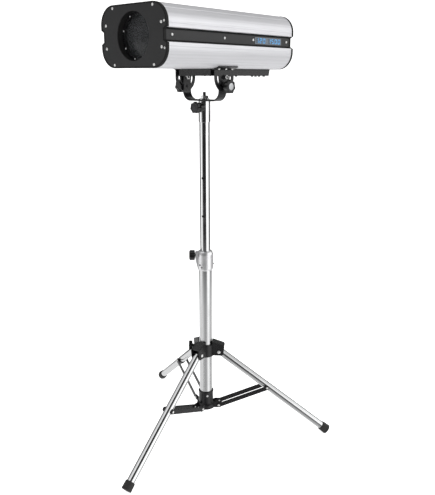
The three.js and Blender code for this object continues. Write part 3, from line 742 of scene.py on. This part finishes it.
def stand_tubes():
    add("lower_tube_chrome", pipe(TUBE_R, TUBE_R - 1.5, TUBE_LOW.z, TUBE_HIGH.z), "chrome", "base",
        ["lower_tube"])
    tube = pipe(POLE_R, POLE_R - 1.5, POLE_LOW.z, POLE_HIGH.z, 0.5)
    holes = [placed(rod(4, -30, 30, 0.2, 32), move(z=z), spin(PIN_AZIMUTH), ALONG_X)
             for z in PIN_HOLES]
    add("upper_pole_chrome", cut(tube, *holes), "chrome", "mast", ["upper_pole"])
    low, high = span("pole_plug")
    bore = POLE_R - 1.8
    plug = turned([(0, low.z), (bore, low.z), (bore, high.z - 2), (POLE_R, high.z - 2),
                   (POLE_R, high.z), (0, high.z)], 0.5)
    add("pole_plug_cap", plug, "black_plastic", "mast", ["pole_plug"])
    low, high = span("slide_bush")
    add("slide_bush_ring", pipe(high.x, POLE_R + 0.3, low.z, high.z), "black_plastic", "mast",
        ["slide_bush"])


def turned_out(joint, reach):
    """The matrix that lays a shape made along +Z out along a joint's axis, its origin at that reach."""
    axis = Vector(JOINTS[joint]["axis"])
    lay = axis.to_track_quat("Z", "X").to_matrix().to_4x4()
    return Matrix.Translation(axis * reach + Vector((0, 0, pivot(joint).z))) @ lay


def knobs():
    for node, radius, thick, reach, tip, cap in (
        ("clamp_knob", 18.5, 20, 57.5, POLE_R + 0.8, "black_oxide"),
        ("mast_knob", 19.3, 14, 52, POLE_R + 0.8, "black_oxide"),
        # the tilt knobs' caps are bright aluminium as a painted highlight: they stand in for the soft
        # box's reflection on the knobs' faces
        ("tilt_knob_left", 22.5, 17, 118, 74, "plain_aluminium"),
        ("tilt_knob_right", 22.5, 17, 118, 74, "plain_aluminium"),
    ):
        out = turned_out(f"{node}_turn", reach)
        add(f"{node}_cap", placed(knob_cap(radius * 0.5), out), cap, node)
        add(f"{node}_ring", placed(knob_ring(radius * 0.72), out), "black_oxide", node)
        add(f"{node}_grip", placed(star_knob(radius, thick), out), "black_plastic", node, [node])
        add(f"{node}_stud", placed(rod(STUD_R, tip - reach, -thick, 0.4), out), "black_oxide", node)


def collar_knob():
    reach = 57
    out = turned_out("collar_knob_turn", reach)
    bar = placed(turned([(0, -17), (6.6, -17), (7, 0), (6.6, 17), (0, 17)], 3.4, 48), spin(pi / 2, "X"))
    hub = turned([(0, -14), (5.5, -14), (7.6, -3), (7.6, 1), (0, 1)], 1)
    lean = spin(pi / 2 + radians(15))
    add("collar_knob_grip", placed(merged(bar, hub), out, lean), "black_plastic", "collar_knob",
        ["collar_knob"])
    stud = placed(rod(STUD_R, TUBE_R + 0.8 - reach, -13), out)
    add("collar_knob_stud", stud, "black_oxide", "collar_knob")


# ------------------------------------------------------------------ sliding collar
LEG_R = 14
ARM_INNER, ARM_WALL = LEG_R + 0.8, 3


def leg_collar():
    low, high = span("leg_collar")
    bore = TUBE_R + 0.4
    top = high.z - 12
    ring = turned([(bore, low.z), (30, low.z), (30, top), (bore, top)], 1.2)
    parts = []
    for number in ARMS:
        joint, reach, azimuth = arm(f"leg_{number}_fold")
        side = [(25, top), (27, high.z), (68, top - 2), (70.5, top - 7), (66, 321), (61, 318), (25, 318)]
        for edge in (-ARM_INNER - ARM_WALL, ARM_INNER):
            hole = disc(3.4, reach, joint.z, 24)
            cheek = slab_y(softened(side, 2.5), edge, edge + ARM_WALL, [hole], 0.5)
            parts.append(placed(cheek, spin(azimuth)))
        roof = [(25, top - 3), (24, high.z), (27, high.z), (68, top - 2), (67, top - 5), (27, high.z - 3)]
        half = ARM_INNER + ARM_WALL - 0.4
        parts.append(placed(slab_y(roof, -half, half, (), 0.4), spin(azimuth)))
    boss = placed(turned([(4.4, 26), (11, 26), (11, 40), (4.4, 40)], 1.2),
                  turned_out("collar_knob_turn", 0))
    add("leg_collar_casting", merged(ring, boss, *parts), "black_paint", "collar", ["leg_collar"])


def leg_pins():
    reach = ARM_INNER + ARM_WALL + 0.3
    for number in ARMS:
        joint, _, azimuth = arm(f"leg_{number}_fold")
        shaft = rod(3.1, -reach - 1, reach + 1)
        heads = [placed(rivet(5.8, 2.4), spin(turn, "X"), move(z=reach)) for turn in (0, pi)]
        pin = placed(merged(shaft, *heads), Matrix.Translation(joint), spin(azimuth), UPRIGHT)
        add(f"leg_pin_{number}_steel", pin, "screw_steel", "collar", [f"leg_pin_{number}"])


# ------------------------------------------------------------------ legs and braces
def slope(joint):
    """How far a leg or a brace stands off the level at rest."""
    return radians(90 - JOINTS[joint]["range_deg"][1])


def fold_frame(joint, way):
    """The matrix of a leg (way 1) or a brace (way -1) made along +X from its pivot."""
    point, _, azimuth = arm(joint)
    return Matrix.Translation(point) @ spin(azimuth) @ spin(way * slope(joint), "Y")


FOOT_END_Z = 12
CLIP_AT = 230
STRAP_INNER, STRAP_THICK, STRAP_HALF = 17.8, 3, 8.2


def leg(number):
    body = f"leg_{number}"
    fold = f"{body}_fold"
    place = fold_frame(fold, 1)
    length = (pivot(fold).z - FOOT_END_Z) / sin(slope(fold))
    tube = cut(placed(pipe(LEG_R, LEG_R - 1.5, -13, length - 6, 0.6, 64), ALONG_X),
               placed(rod(3.4, -20, 20, 0.1, 24), UPRIGHT))
    add(f"leg_tube_{number}_chrome", placed(tube, place), "chrome", body, [f"leg_tube_{number}"])

    band = LEG_R + 0.3
    ring = placed(pipe(LEG_R + 2.6, band, -8, 8, 0.6, 96), ALONG_X)
    saddle = cut(ring, block(-9, 9, -20, 20, 5, 20, 0.1))
    bosses = placed(rod(6.5, -STRAP_INNER + 0.4, STRAP_INNER - 0.4, 0.6, 48), UPRIGHT)
    bore = placed(rod(band, -12, 12, 0.1, 96), ALONG_X)
    clip = placed(cut(fused(saddle, bosses), bore), place, move(x=CLIP_AT))
    add(f"leg_clip_{number}_saddle", clip, "black_paint", body, [f"leg_clip_{number}"])

    sole = length - 30
    rubber_foot = turned([
        (0, length), (16.5, length), (18, length - 1.5), (17.6, length - 9), (17.0, length - 9.6),
        (17.0, length - 11.4), (17.5, length - 12), (17, sole + 3), (16, sole), (LEG_R + 0.3, sole),
        (LEG_R + 0.3, length - 5.5), (LEG_R - 1.8, length - 5.5), (LEG_R - 1.8, length - 24),
        (0, length - 24)], 0.5, 64)
    end = place @ Vector((length, 0, 0))
    ground = placed(block(-100, 100, -100, 100, -60, 0), Matrix.Translation(end), move(z=-FOOT_END_Z))
    foot = cut(placed(rubber_foot, place, ALONG_X), ground)
    add(f"foot_{number}_rubber", foot, "rubber", body, [f"foot_{number}"])


def brace(number):
    body = f"brace_{number}"
    fold = f"{body}_fold"
    place = fold_frame(fold, -1)
    clip = fold_frame(f"leg_{number}_fold", 1) @ Vector((CLIP_AT, 0, 0))
    length = (clip - pivot(fold)).length
    outline = capsule(0, 0, length, 0, STRAP_HALF)
    for word, side in (("left", 1), ("right", -1)):
        near = STRAP_INNER if side > 0 else -STRAP_INNER - STRAP_THICK
        strap = slab_y(outline, near, near + STRAP_THICK, (), 0.6)
        lay = spin(-side * pi / 2, "X")
        heads = [placed(rivet(4.6, 2.2), move(x=x, y=side * (STRAP_INNER + STRAP_THICK)), lay)
                 for x in (0, length)]
        shaft = placed(rod(3, 14.9, STRAP_INNER + 1), lay)
        node = f"brace_strap_{number}_{word}"
        add(f"{node}_steel", placed(strap, place), "black_paint", body, [node])
        add(f"{node}_rivets", placed(merged(*heads, shaft), place), "screw_steel", body)


# ------------------------------------------------------------------ yoke
YOKE_LOW, YOKE_HIGH = span("yoke_bar")
YOKE_THICK, YOKE_BEND = 5, 32
LOCK_Z = pivot("tilt_knob_right_turn").z
BRACKET_IN, BRACKET_THICK = span("tilt_bracket_right")[0].x, 4


def yoke_bar():
    """A flat strip with round ends, pierced and then bent into a U."""
    half, width = YOKE_HIGH.x, YOKE_HIGH.y
    radius = YOKE_BEND - YOKE_THICK / 2
    flat = half - YOKE_BEND
    curve = radius * pi / 2
    rise = YOKE_LOW.z + YOKE_BEND
    ends = flat + curve + TILT_Z - rise
    locks = flat + curve + LOCK_Z - rise
    holes = [disc(5.4, 0, 0, 32)]
    holes += [disc(4.3, side * at, 0, 32) for side in (-1, 1) for at in (ends, locks)]
    strip = plate(capsule(-ends, 0, ends, 0, width, 24), YOKE_THICK, holes, 1.0)
    bm = bmesh.new()
    bm.from_mesh(strip)
    for i in range(17):
        for side in (-1, 1):
            cutter = Vector((side * (flat + curve * i / 16), 0, 0))
            everything = [*bm.verts, *bm.edges, *bm.faces]
            bmesh.ops.bisect_plane(bm, geom=everything, plane_co=cutter, plane_no=(1, 0, 0))
    for vertex in bm.verts:
        along, across, up = vertex.co
        side = 1 if along >= 0 else -1
        run, depth = abs(along), up - YOKE_THICK / 2
        turn = min(max(run - flat, 0) / radius, pi / 2)
        straight = max(run - flat - curve, 0)
        x = min(run, flat) + (radius - depth) * sin(turn)
        z = rise - (radius - depth) * cos(turn) + straight
        vertex.co = (side * x, across, z)
    add("yoke_bar_bent", to_mesh(bm), "black_paint", "yoke", ["yoke_bar"])


def socket_sleeve():
    low, high = span("socket_sleeve")
    knob = pivot("mast_knob_turn")
    outer, bore = high.x, POLE_R + 0.4
    roof = span("pole_plug")[1].z + 0.3
    body = turned([(bore, low.z), (outer, low.z), (outer, high.z), (5.4, high.z), (5.4, roof),
                   (bore, roof)], 0.6)
    place = (move(z=knob.z), spin(pi / 2, "X"))
    boss = placed(rod(16, -2, 33, 1.8, 64), *place)
    threads = [placed(rod(4.4, 10, 40), *place) for _ in range(2)]
    socket = rod(outer - 0.05, low.z - 5, high.z + 5, 0.1, 96)
    add("socket_sleeve_chrome", cut(body, threads[0]), "chrome", "yoke", ["socket_sleeve"])
    add("socket_sleeve_boss", cut(boss, socket, threads[1]), "black_plastic", "yoke")


def yoke_bolt():
    low, high = span("yoke_bolt")
    seat = YOKE_LOW.z + YOKE_THICK + 0.3
    shaft = turned([(0, low.z), (5, low.z), (5, high.z - 1), (4.2, high.z), (0, high.z)], 0.3)
    washer = turned([(5, seat), (17, seat), (17, seat + 3), (5, seat + 3)], 0.6)
    hexagon = placed(nut(13.5, 9), move(z=seat + 3), spin(radians(-8)))
    add("yoke_bolt_shaft", shaft, "black_oxide", "yoke", ["yoke_bolt"])
    add("yoke_bolt_nut", merged(washer, hexagon), "chrome", "yoke")


def pivot_bolts():
    inside, bracket = YOKE_HIGH.x - YOKE_THICK, BRACKET_IN + BRACKET_THICK + 0.3
    for word, side in (("right", 1), ("left", -1)):
        shaft = rod(4, inside - 6, bracket + 12, 0.6)
        lock = placed(nut(7.5, 5.2), move(z=inside - 5.5))
        friction = pipe(11, 4.2, YOKE_HIGH.x + 0.3, BRACKET_IN - 0.3, 0.3, 64)
        washer = pipe(8, 4.2, bracket, bracket + 1.6, 0.4, 64)
        head = placed(nut(6.4, 5), move(z=bracket + 1.6))
        cap = pipe(5.6, 4.1, bracket + 7, bracket + 11.5, 0.5, 48)
        place = (move(z=TILT_Z), spin(0 if side > 0 else pi), ALONG_X)
        dark = placed(merged(shaft, friction, washer, head), *place)
        add(f"pivot_bolt_{word}_shaft", dark, "black_oxide", "yoke", [f"pivot_bolt_{word}"])
        add(f"pivot_bolt_{word}_nuts", placed(merged(lock, cap), *place), "screw_steel", "yoke")


# ------------------------------------------------------------------ head, from its own centre
CHANNEL, CHANNEL_DEPTH, LIP, WALL = 19, 12, 3, 3
ROUND = 2.4  # of the edges along the channel's mouth
HEAD = move(z=HEAD_Z)


def shell_outline():
    """The upper shell's section, with one groove on each shoulder and one above each channel."""
    a, b = HALF_W - CORNER, HALF_H - CORNER
    inside, top_lip = HALF_W - CHANNEL_DEPTH, CHANNEL + LIP
    groove = [(HALF_W, 30), (HALF_W - 0.6, 30.5), (HALF_W - 0.6, 31.1), (HALF_W, 31.6)]
    right = [(inside, CHANNEL), *arc(HALF_W - ROUND, CHANNEL + ROUND, ROUND, 270, 360, 5), *groove,
             *arc(a, b, CORNER, 0, 43.6, 14), *arc(a, b, CORNER - 0.8, 44.3, 45.7, 2),
             *arc(a, b, CORNER, 46.4, 90, 14)]
    inner = [*arc(a, b, CORNER - WALL, 90, 0, 20), (HALF_W - WALL, top_lip), (inside, top_lip)]
    left = [(-x, z) for x, z in reversed(right)]
    inner_left = [(-x, z) for x, z in reversed(inner)]
    return right + left + inner_left + inner


def shells():
    for word, node, turn in (("upper", "upper_shell", 0), ("lower", "lower_shell", pi)):
        shell = slab_y(shell_outline(), HEAD_FRONT, HEAD_REAR, (), 0.25)
        skin = placed(shell, HEAD, spin(turn, "Y"))
        add(f"{word}_shell_skin", skin, "brushed_shell", "head", [node], 30)


def end_outline(grow=0.0):
    """The outline of both end plates, grown all round by that much."""
    r = CORNER + grow
    a, b = HALF_W - CORNER, HALF_H - CORNER
    wide, deep = HALF_W + grow, HALF_W - 11 + grow
    mouth, throat = 21 - 0.6 * grow, 14.5 - 0.6 * grow
    notch = [(wide, mouth), (deep, throat), (deep, -throat), (wide, -mouth)]
    return [*arc(a, b, r, 0, 90, 20), *arc(-a, b, r, 90, 180, 20), *[(-x, z) for x, z in notch],
            *arc(-a, -b, r, 180, 270, 20), *arc(a, -b, r, 270, 360, 20), *reversed(notch)]


APERTURE = 68.8
CORNER_SCREW, NOTCH_SCREW = (86, 80), (119, 33)  # from the head's centre line
FOUR_WAYS = [(x, z) for x in (-1, 1) for z in (-1, 1)]


def edge_trim(word, edge, outward):
    """A black bead that covers the sheared edge of an end plate and laps over the shells' ends."""
    lip = sorted((edge, edge - outward * 1.1))
    skirt = sorted((edge, edge - outward * 9.7))
    bead = merged(slab_y(end_outline(0.7), *lip, [end_outline(-3.0)], 0.4),
                  slab_y(end_outline(0.7), *skirt, [end_outline(0.15)], 0.25))
    add(f"{word}_edge_trim", placed(bead, HEAD), "lens_black", "head")


def front_plate():
    low, high = span("front_plate")
    face = slab_y(end_outline(), low.y, high.y, [disc(APERTURE, steps=128)], 0.5)
    add("front_plate_panel", placed(face, HEAD), "powder_coat", "head", ["front_plate"])
    edge_trim("front", low.y - 1.2, -1)
    spots = [(sx * x, sz * z, r) for sx, sz in FOUR_WAYS
             for (x, z), r in ((CORNER_SCREW, 4), (NOTCH_SCREW, 4.2))]
    spots += [(130.5, 36, 3.4), (130.5, -36, 3.4)]
    screws = [placed(screw(r, 1.8), HEAD, move(x, low.y, z), UPRIGHT) for x, z, r in spots]
    add("front_plate_screws", merged(*screws), "screw_steel", "head")


PORTS = {
    "z": pivot("power_switch_rock").z - HEAD_Z,
    "inlet": middle("power_inlet").x,
    "switch": pivot("power_switch_rock").x,
    "socket": middle("signal_socket").x,
    "dimmer": pivot("dimmer_turn").x,
}


def rear_plate():
    low, high = span("rear_plate")
    slots = [capsule(-50, z, 50, z, 3.4, 8) for z in (18 + 50 * (i / 3 - 1) for i in range(7))]
    z = PORTS["z"]
    ports = [
        round_rect(28, 21, 2, PORTS["inlet"], z),
        round_rect(20, 13, 1, PORTS["switch"], z),
        disc(11, PORTS["socket"], z),
        disc(4, PORTS["dimmer"], z, 24),
    ]
    back = slab_y(end_outline(), low.y, high.y, slots + ports, 0.4)
    add("rear_plate_panel", placed(back, HEAD), "black_paint", "head", ["rear_plate"])
    edge_trim("rear", high.y + 1.2, 1)
    spots = [(sx * x, sz * z) for sx, sz in FOUR_WAYS for x, z in (CORNER_SCREW, NOTCH_SCREW)]
    screws = [placed(screw(3.4, 1.8), HEAD, move(x, high.y, z), spin(pi), UPRIGHT) for x, z in spots]
    add("rear_plate_screws", merged(*screws), "screw_steel", "head")


PANEL_BACK, PANEL_STEP, PANEL_FACE = 123, 125.6, 129


def whole_length(half):
    """A rectangle as long as the head."""
    return [(HEAD_FRONT, -half), (HEAD_REAR, -half), (HEAD_REAR, half), (HEAD_FRONT, half)]


def side_panels():
    """A strip down each side, with a flat black sheet that fills the channel behind it; its black is
    painted shade, standing in for the shadow in the gaps above and below the strip.
    """
    low, high = span("display_window")
    window = [(low.y - 0.3, -11), (high.y + 0.3, -11), (high.y + 0.3, 11), (low.y - 0.3, 11)]
    knob_y = middle("focus_knob").y
    slot = capsule(knob_y - 75, 0, knob_y + 75, 0, 5)
    for word, side, holes, between in (
        ("right", 1, [window], (-48, 95)),
        ("left", -1, [slot], (-10, 134)),
    ):
        faces = sorted((side * PANEL_STEP, side * PANEL_FACE))
        backs = sorted((side * PANEL_BACK, side * PANEL_STEP))
        strip = slab_x(whole_length(14), *faces, holes, 0.5)
        # the sheet behind the strip is flat black as painted shade for the shadowed gaps round the strip
        painted_shade_backing = slab_x(whole_length(24), *backs, holes if side < 0 else (), 0.3)
        node = f"side_panel_{word}"
        add(f"{node}_strip", placed(strip, HEAD), "powder_coat", "head", [node])
        add(f"{node}_backing", placed(painted_shade_backing, HEAD), "lens_black", "head")
        screws = [placed(screw(4, 2), HEAD, spin(0 if side > 0 else pi),
                         move(PANEL_FACE, side * y, 1), ALONG_X) for y in (-275, *between, 281)]
        add(f"{node}_screws", merged(*screws), "screw_steel", "head")


# The bars of a seven-bar numeral, as (across, up, stands upright), and the ones each figure lights.
BARS = ((0, 2, False), (0, 1, True), (1, 1, True), (0, 1, False), (0, 0, True), (1, 0, True),
        (0, 0, False))
FIGURES = {"0": (0, 1, 2, 4, 5, 6), "1": (2, 5), "2": (0, 2, 3, 4, 6), "5": (0, 1, 3, 5, 6)}
FIGURE_WIDE, FIGURE_TALL, BAR = 12.5, 15.0, 2.4


def numeral(x, figure):
    """The lit and the unlit bars of one figure, standing on z = 0."""
    half, gap = FIGURE_TALL / 2, 0.3
    lit, unlit = [], []
    for i, (across, up, stands) in enumerate(BARS):
        if stands:
            left = x + across * (FIGURE_WIDE - BAR)
            sides = (left, left + BAR, up * half + gap, (up + 1) * half - gap)
        else:
            z = min(max(up * half, BAR / 2), FIGURE_TALL - BAR / 2)
            sides = (x + BAR + gap, x + FIGURE_WIDE - BAR - gap, z - BAR / 2, z + BAR / 2)
        bar = block(*sides, 0, 0.25, 0.05)
        (lit if i in FIGURES[figure] else unlit).append(bar)
    return lit, unlit


def display():
    refine("display_window", "display_glass", 0.2)
    low, high = span("display_window")
    pitch = 18.0
    starts = [i * pitch for i in range(3)] + [i * pitch + 12 for i in range(3, 7)]
    figures = [numeral(x, figure) for x, figure in zip(starts, "1201500")]
    total = starts[-1] + FIGURE_WIDE
    place = (move(high.x, (low.y + high.y - total) / 2, (low.z + high.z - FIGURE_TALL) / 2), ALONG_X)
    for name, finish, which in (("lit", "display_light", 0), ("unlit", "display_dark", 1)):
        bars = [bar for figure in figures for bar in figure[which]]
        add(f"display_bars_{name}", placed(merged(*bars), *place), finish, "head")


# ------------------------------------------------------------------ brackets and tray
WING_FROM, WING_TO = -57, 38


def tilt_brackets():
    drop = TILT_Z - HEAD_Z
    radius = span("tilt_bracket_right")[1].y
    inner, thick = BRACKET_IN, BRACKET_THICK
    top = -HALF_H - 0.3
    slot = [*arc(0, drop, 35.2, 180, 360, 24), *arc(31, drop, 4.2, 0, 180, 8),
            *arc(0, drop, 26.8, 360, 180, 24), *arc(-31, drop, 4.2, 0, 180, 8)]
    outline = [(radius, top), (-radius, top), *arc(0, drop, radius, 180, 360, 40)[1:-1]]
    cx, cz = HALF_W - CORNER, CORNER - HALF_H
    reach = CORNER + 0.3
    for word, side in (("right", 1), ("left", -1)):
        cheek = slab_x(outline, inner, inner + thick, [slot, disc(4.3, 0, drop, 32)], 0.6)
        wing = slab_y([*arc(cx, cz, reach + thick, -90, -60, 10), *arc(cx, cz, reach, -60, -90, 10)],
                      WING_FROM, WING_TO, (), 0.6)
        turn = spin(0 if side > 0 else pi)
        bolts = []
        lean = radians(-73)
        for y in (-42, -9, 22):
            spot = (cx + (reach + thick) * cos(lean), y, cz + (reach + thick) * sin(lean))
            bolts.append(placed(screw(3.6, 2.4, "hex"), HEAD, turn, move(*spot), spin(radians(163), "Y")))
        add(f"tilt_bracket_{word}_plate", placed(merged(cheek, wing), HEAD, turn), "black_paint", "head",
            [f"tilt_bracket_{word}"])
        add(f"tilt_bracket_{word}_bolts", merged(*bolts), "screw_steel", "head")


def base_tray():
    refine("base_tray", "black_paint", 1.0)
    under = span("base_tray")[0].z
    screws = [placed(screw(3, 1.8), move(x, y, under), spin(pi, "X"))
              for x in (-52, 52) for y in (-30, 60, 150)]
    nuts = [placed(nut(5, 3), move(x, y, under), spin(pi, "X"))
            for x in (-63, 63) for y in (176, 196, 216, 243)]
    add("base_tray_screws", merged(*screws), "screw_steel", "head")
    add("base_tray_nuts", merged(*nuts), "black_oxide", "head")


# ------------------------------------------------------------------ optics
def lens_tube():
    low, high = span("lens_tube")
    start, end = low.y, high.y
    seat = span("front_lens")[0].y
    outer, bore, lip = 73, 70, 64
    baffles = []
    for i in range(5):
        y = start + 4 + i * 3.2
        baffles += [(bore - 0.6, y), (bore, y + 0.8), (bore, y + 1.6)]
    tube = turned([(outer, start), (outer, end), (46, end), (46, end - 3), (bore, end - 3),
                   (bore, seat - 0.3), (lip, seat - 0.3), (lip, seat - 3), (bore, seat - 3),
                   *reversed(baffles), (bore, start)], 0.3, 128)
    add("lens_tube_barrel", placed(tube, HEAD, ALONG_Y), "lens_black", "head", ["lens_tube"])
    keeper = pipe(bore - 0.2, 61, seat - 5.6, seat - 3.6, 0.5, 128)
    add("lens_keeper_ring", placed(keeper, HEAD, ALONG_Y), "black_paint", "head")
    screws = [placed(screw(2.6, 1.4), HEAD, spin(radians(angle), "Y"), move(0, seat - 5.6, 65.4), UPRIGHT)
              for angle in range(15, 375, 45)]
    add("lens_keeper_screws", merged(*screws), "screw_steel", "head")


def glass(node, body, edge_thick):
    """A thick lens with two round faces and a ground edge."""
    low, high = span(node)
    radius = (high.x - low.x) / 2
    centre = middle(node).y
    bulge = (high.y - low.y - edge_thick) / 2
    steps = [i / 10 for i in range(11)]
    front = [(t * radius, centre - edge_thick / 2 - bulge * (1 - t * t)) for t in steps]
    back = [(r, 2 * centre - y) for r, y in reversed(front)]
    lens = placed(turned(front + back, 0.2, 96), HEAD, ALONG_Y)
    add(f"{node}_glass", lens, "lens_glass", body, [node], 60)


def optics():
    lens_tube()
    glass("front_lens", "head", 6)
    glass("focus_lens", "focus", 4)
    refine("optics_frame", "plain_aluminium")
    refine("focus_carriage", "plain_aluminium")
    refine("led_module", "plain_aluminium", 0.8)
    refine("heat_sink", "plain_aluminium", 0.3)
    refine("fan_frame", "black_plastic", 0.8)
    refine("fan_rotor", "black_plastic", 0.3)
    refine("power_supply", "plain_aluminium", 0.6)
    cap = placed(plate(fluted(9, 0.72, 18, 8), 7.5, (), 0.9), move(z=130.2))
    stem = rod(2.9, 102, 132)
    knob = placed(merged(cap, stem), HEAD, move(y=middle("focus_knob").y), spin(pi), ALONG_X)
    add("focus_knob_grip", knob, "black_plastic", "focus", ["focus_knob"])


# ------------------------------------------------------------------ rear controls
def controls():
    face = span("rear_plate")[1].y
    z = PORTS["z"]
    x = PORTS["inlet"]
    shroud = slab_y(round_rect(34, 27, 3, x, z), face + 0.3, face + 3, [round_rect(23, 15, 3, x, z)], 0.6)
    well = slab_y(round_rect(27, 20, 2, x, z), face - 14, face + 1, [round_rect(23, 15, 3, x, z)], 0.3)
    back = slab_y(round_rect(27, 20, 2, x, z), face - 24, face - 13.9, (), 0.6)
    add("power_inlet_shroud", placed(merged(shroud, well, back), HEAD), "black_plastic", "head",
        ["power_inlet"])
    pins = [block(across - 1, across + 1, face - 16, face - 2, z - 2.4, z + 2.4, 0.4)
            for across in (x - 7, x, x + 7)]
    add("power_inlet_pins", placed(merged(*pins), HEAD), "screw_steel", "head")

    x = PORTS["socket"]
    flange = slab_y(round_rect(26, 31, 3, x, z), face + 0.3, face + 2.6, [disc(8.5, x, z)], 0.6)
    cup = slab_y(disc(10.6, x, z), face - 14, face + 1, [disc(8.5, x, z)], 0.3)
    floor = slab_y(disc(10.6, x, z), face - 20, face - 13.9, (), 0.5)
    add("signal_socket_shroud", placed(merged(flange, cup, floor), HEAD), "black_plastic", "head",
        ["signal_socket"])
    pins = [placed(rod(1.3, -16, -4, 0.4, 16), move(x, face, z), spin(2 * pi * i / 3, "Y"), move(z=4.6),
                   UPRIGHT, spin(pi, "X")) for i in range(3)]
    add("signal_socket_pins", placed(merged(*pins), HEAD), "screw_steel", "head")

    refine("power_switch", "black_plastic", 0.6)
    x = PORTS["dimmer"]
    skirt = placed(plate(fluted(10, 0.6, 24, 8), 13.5, (), 1.2), move(z=1))
    pointer = block(-0.9, 0.9, 2.2, 8.4, 13.8, 15.2, 0.3)
    shaft = rod(3.6, -8, 2)
    knob = placed(merged(skirt, shaft), HEAD, move(x, face, z), spin(pi), UPRIGHT)
    add("dimmer_knob_grip", knob, "black_plastic", "dimmer_knob", ["dimmer_knob"])
    mark = placed(pointer, HEAD, move(x, face, z), spin(pi), UPRIGHT)
    add("dimmer_knob_mark", mark, "screw_steel", "dimmer_knob")


# ------------------------------------------------------------------ the whole object
height_clamp()
base_hub()
stand_tubes()
knobs()
collar_knob()
leg_collar()
leg_pins()
for number in ARMS:
    leg(number)
    brace(number)
yoke_bar()
socket_sleeve()
yoke_bolt()
pivot_bolts()
shells()
front_plate()
rear_plate()
side_panels()
display()
tilt_brackets()
base_tray()
optics()
controls()


# ------------------------------------------------------------------ stage and light
def backdrop():
    """A white floor that glows a little, so its shadows stay soft."""
    g = Graph("pale_floor")
    cloud = g.noise(1.2, 2)
    white = g.mix(cloud, (0.93, 0.93, 0.93), (0.95, 0.95, 0.95))
    g.set(Base_Color=white, Roughness=0.9, Emission_Color=white, Emission_Strength=0.85)
    bm = bmesh.new()
    bmesh.ops.create_grid(bm, x_segments=1, y_segments=1, size=30)
    mesh = bpy.data.meshes.new("floor")
    bm.to_mesh(mesh)
    bm.free()
    mesh.materials.append(g.material)
    floor = bpy.data.objects.new("floor", mesh)
    floor.visible_glossy = False
    bpy.context.scene.collection.objects.link(floor)


# How bright the studio is all round, as degrees to the right of the camera and a value:
# below eye level, at and above it, on the floor, and overhead.
WALLS = (
    (-180, 0.06), (-112, 0.06), (-102, 1.3), (-72, 1.4), (-56, 0.6), (-44, 0.02), (8, 0.02),
    (26, 0.14), (38, 1.9), (76, 1.9), (90, 0.7), (104, 0.05), (180, 0.05),
)
EYE_LEVEL = (
    (-180, 0.2), (-112, 0.2), (-100, 0.35), (-70, 0.4), (-56, 0.3), (-44, 0.05), (8, 0.03),
    (26, 0.14), (38, 1.5), (84, 1.7), (112, 2.0), (124, 0.2), (180, 0.2),
)
FLOOR = (
    (-180, 0.9), (-115, 0.95), (-80, 0.8), (-60, 0.9), (-35, 0.7), (-15, 0.46), (15, 0.5),
    (35, 1.1), (60, 1.25), (85, 0.7), (110, 0.6), (150, 0.9), (180, 0.9),
)
CEILING = (
    (-180, 0.6), (-110, 0.7), (-36, 1.3), (-22, 0.04), (40, 0.04), (56, 0.7), (120, 0.65), (180, 0.6),
)


def studio():
    """Tall soft boxes on both sides of a dark room with a pale floor."""
    world = bpy.data.worlds.new("studio")
    world.use_nodes = True
    g = Nodes(world.node_tree)
    direction = g.add("ShaderNodeTexCoord").outputs["Generated"]
    facing = atan2(camera.location.y - MAST.y, camera.location.x - MAST.x)
    turn = g.add("ShaderNodeMapping")
    turn.inputs["Rotation"].default_value = (0, 0, -facing)
    around = g.add("ShaderNodeTexGradient", gradient_type="RADIAL")
    height = g.add("ShaderNodeSeparateXYZ")
    g.link(direction, turn.inputs["Vector"])
    g.link(turn.outputs["Vector"], around.inputs["Vector"])
    g.link(direction, height.inputs["Vector"])

    def ring(values):
        ramp = g.add("ShaderNodeValToRGB")
        stops = ramp.color_ramp.elements
        while len(stops) < len(values):
            stops.new(0.5)
        for stop, (angle, value) in zip(stops, values):
            stop.position = 0.5 + angle / 360
            stop.color = (value, value, value, 1)
        g.link(around.outputs["Fac"], ramp.inputs["Fac"])
        return ramp.outputs["Color"]

    def fade(start, end):
        return g.between(height.outputs["Z"], 0, 1, start, end)

    walls = g.mix(fade(-0.03, 0.02), ring(WALLS), ring(EYE_LEVEL))
    sides = g.mix(fade(-0.26, -0.36), walls, ring(FLOOR))
    room = g.mix(fade(0.35, 0.6), sides, ring(CEILING))
    seen = g.mix(g.add("ShaderNodeLightPath").outputs["Is Camera Ray"], room, (1.4, 1.4, 1.4))
    g.link(seen, g.tree.nodes["Background"].inputs["Color"])
    bpy.context.scene.world = world


def area_light(name, place, target, size, power):
    data = bpy.data.lights.new(name, "AREA")
    data.shape = "RECTANGLE"
    data.size, data.size_y = size
    data.energy = power
    light = bpy.data.objects.new(name, data)
    light.location = MAST + Vector(place)
    light.rotation_euler = (Vector(target) - Vector(place)).to_track_quat("-Z", "Y").to_euler()
    light.visible_glossy = False
    bpy.context.scene.collection.objects.link(light)


def lights():
    studio()
    bpy.context.scene.view_settings.view_transform = "Standard"
    area_light("key", (3.0, -2.2, 3.2), (0, 0, 1.0), (2.0, 2.0), 90)
    area_light("side", (-3.2, -1.2, 1.8), (0, 0, 1.0), (1.2, 2.4), 12)


backdrop()
lights()
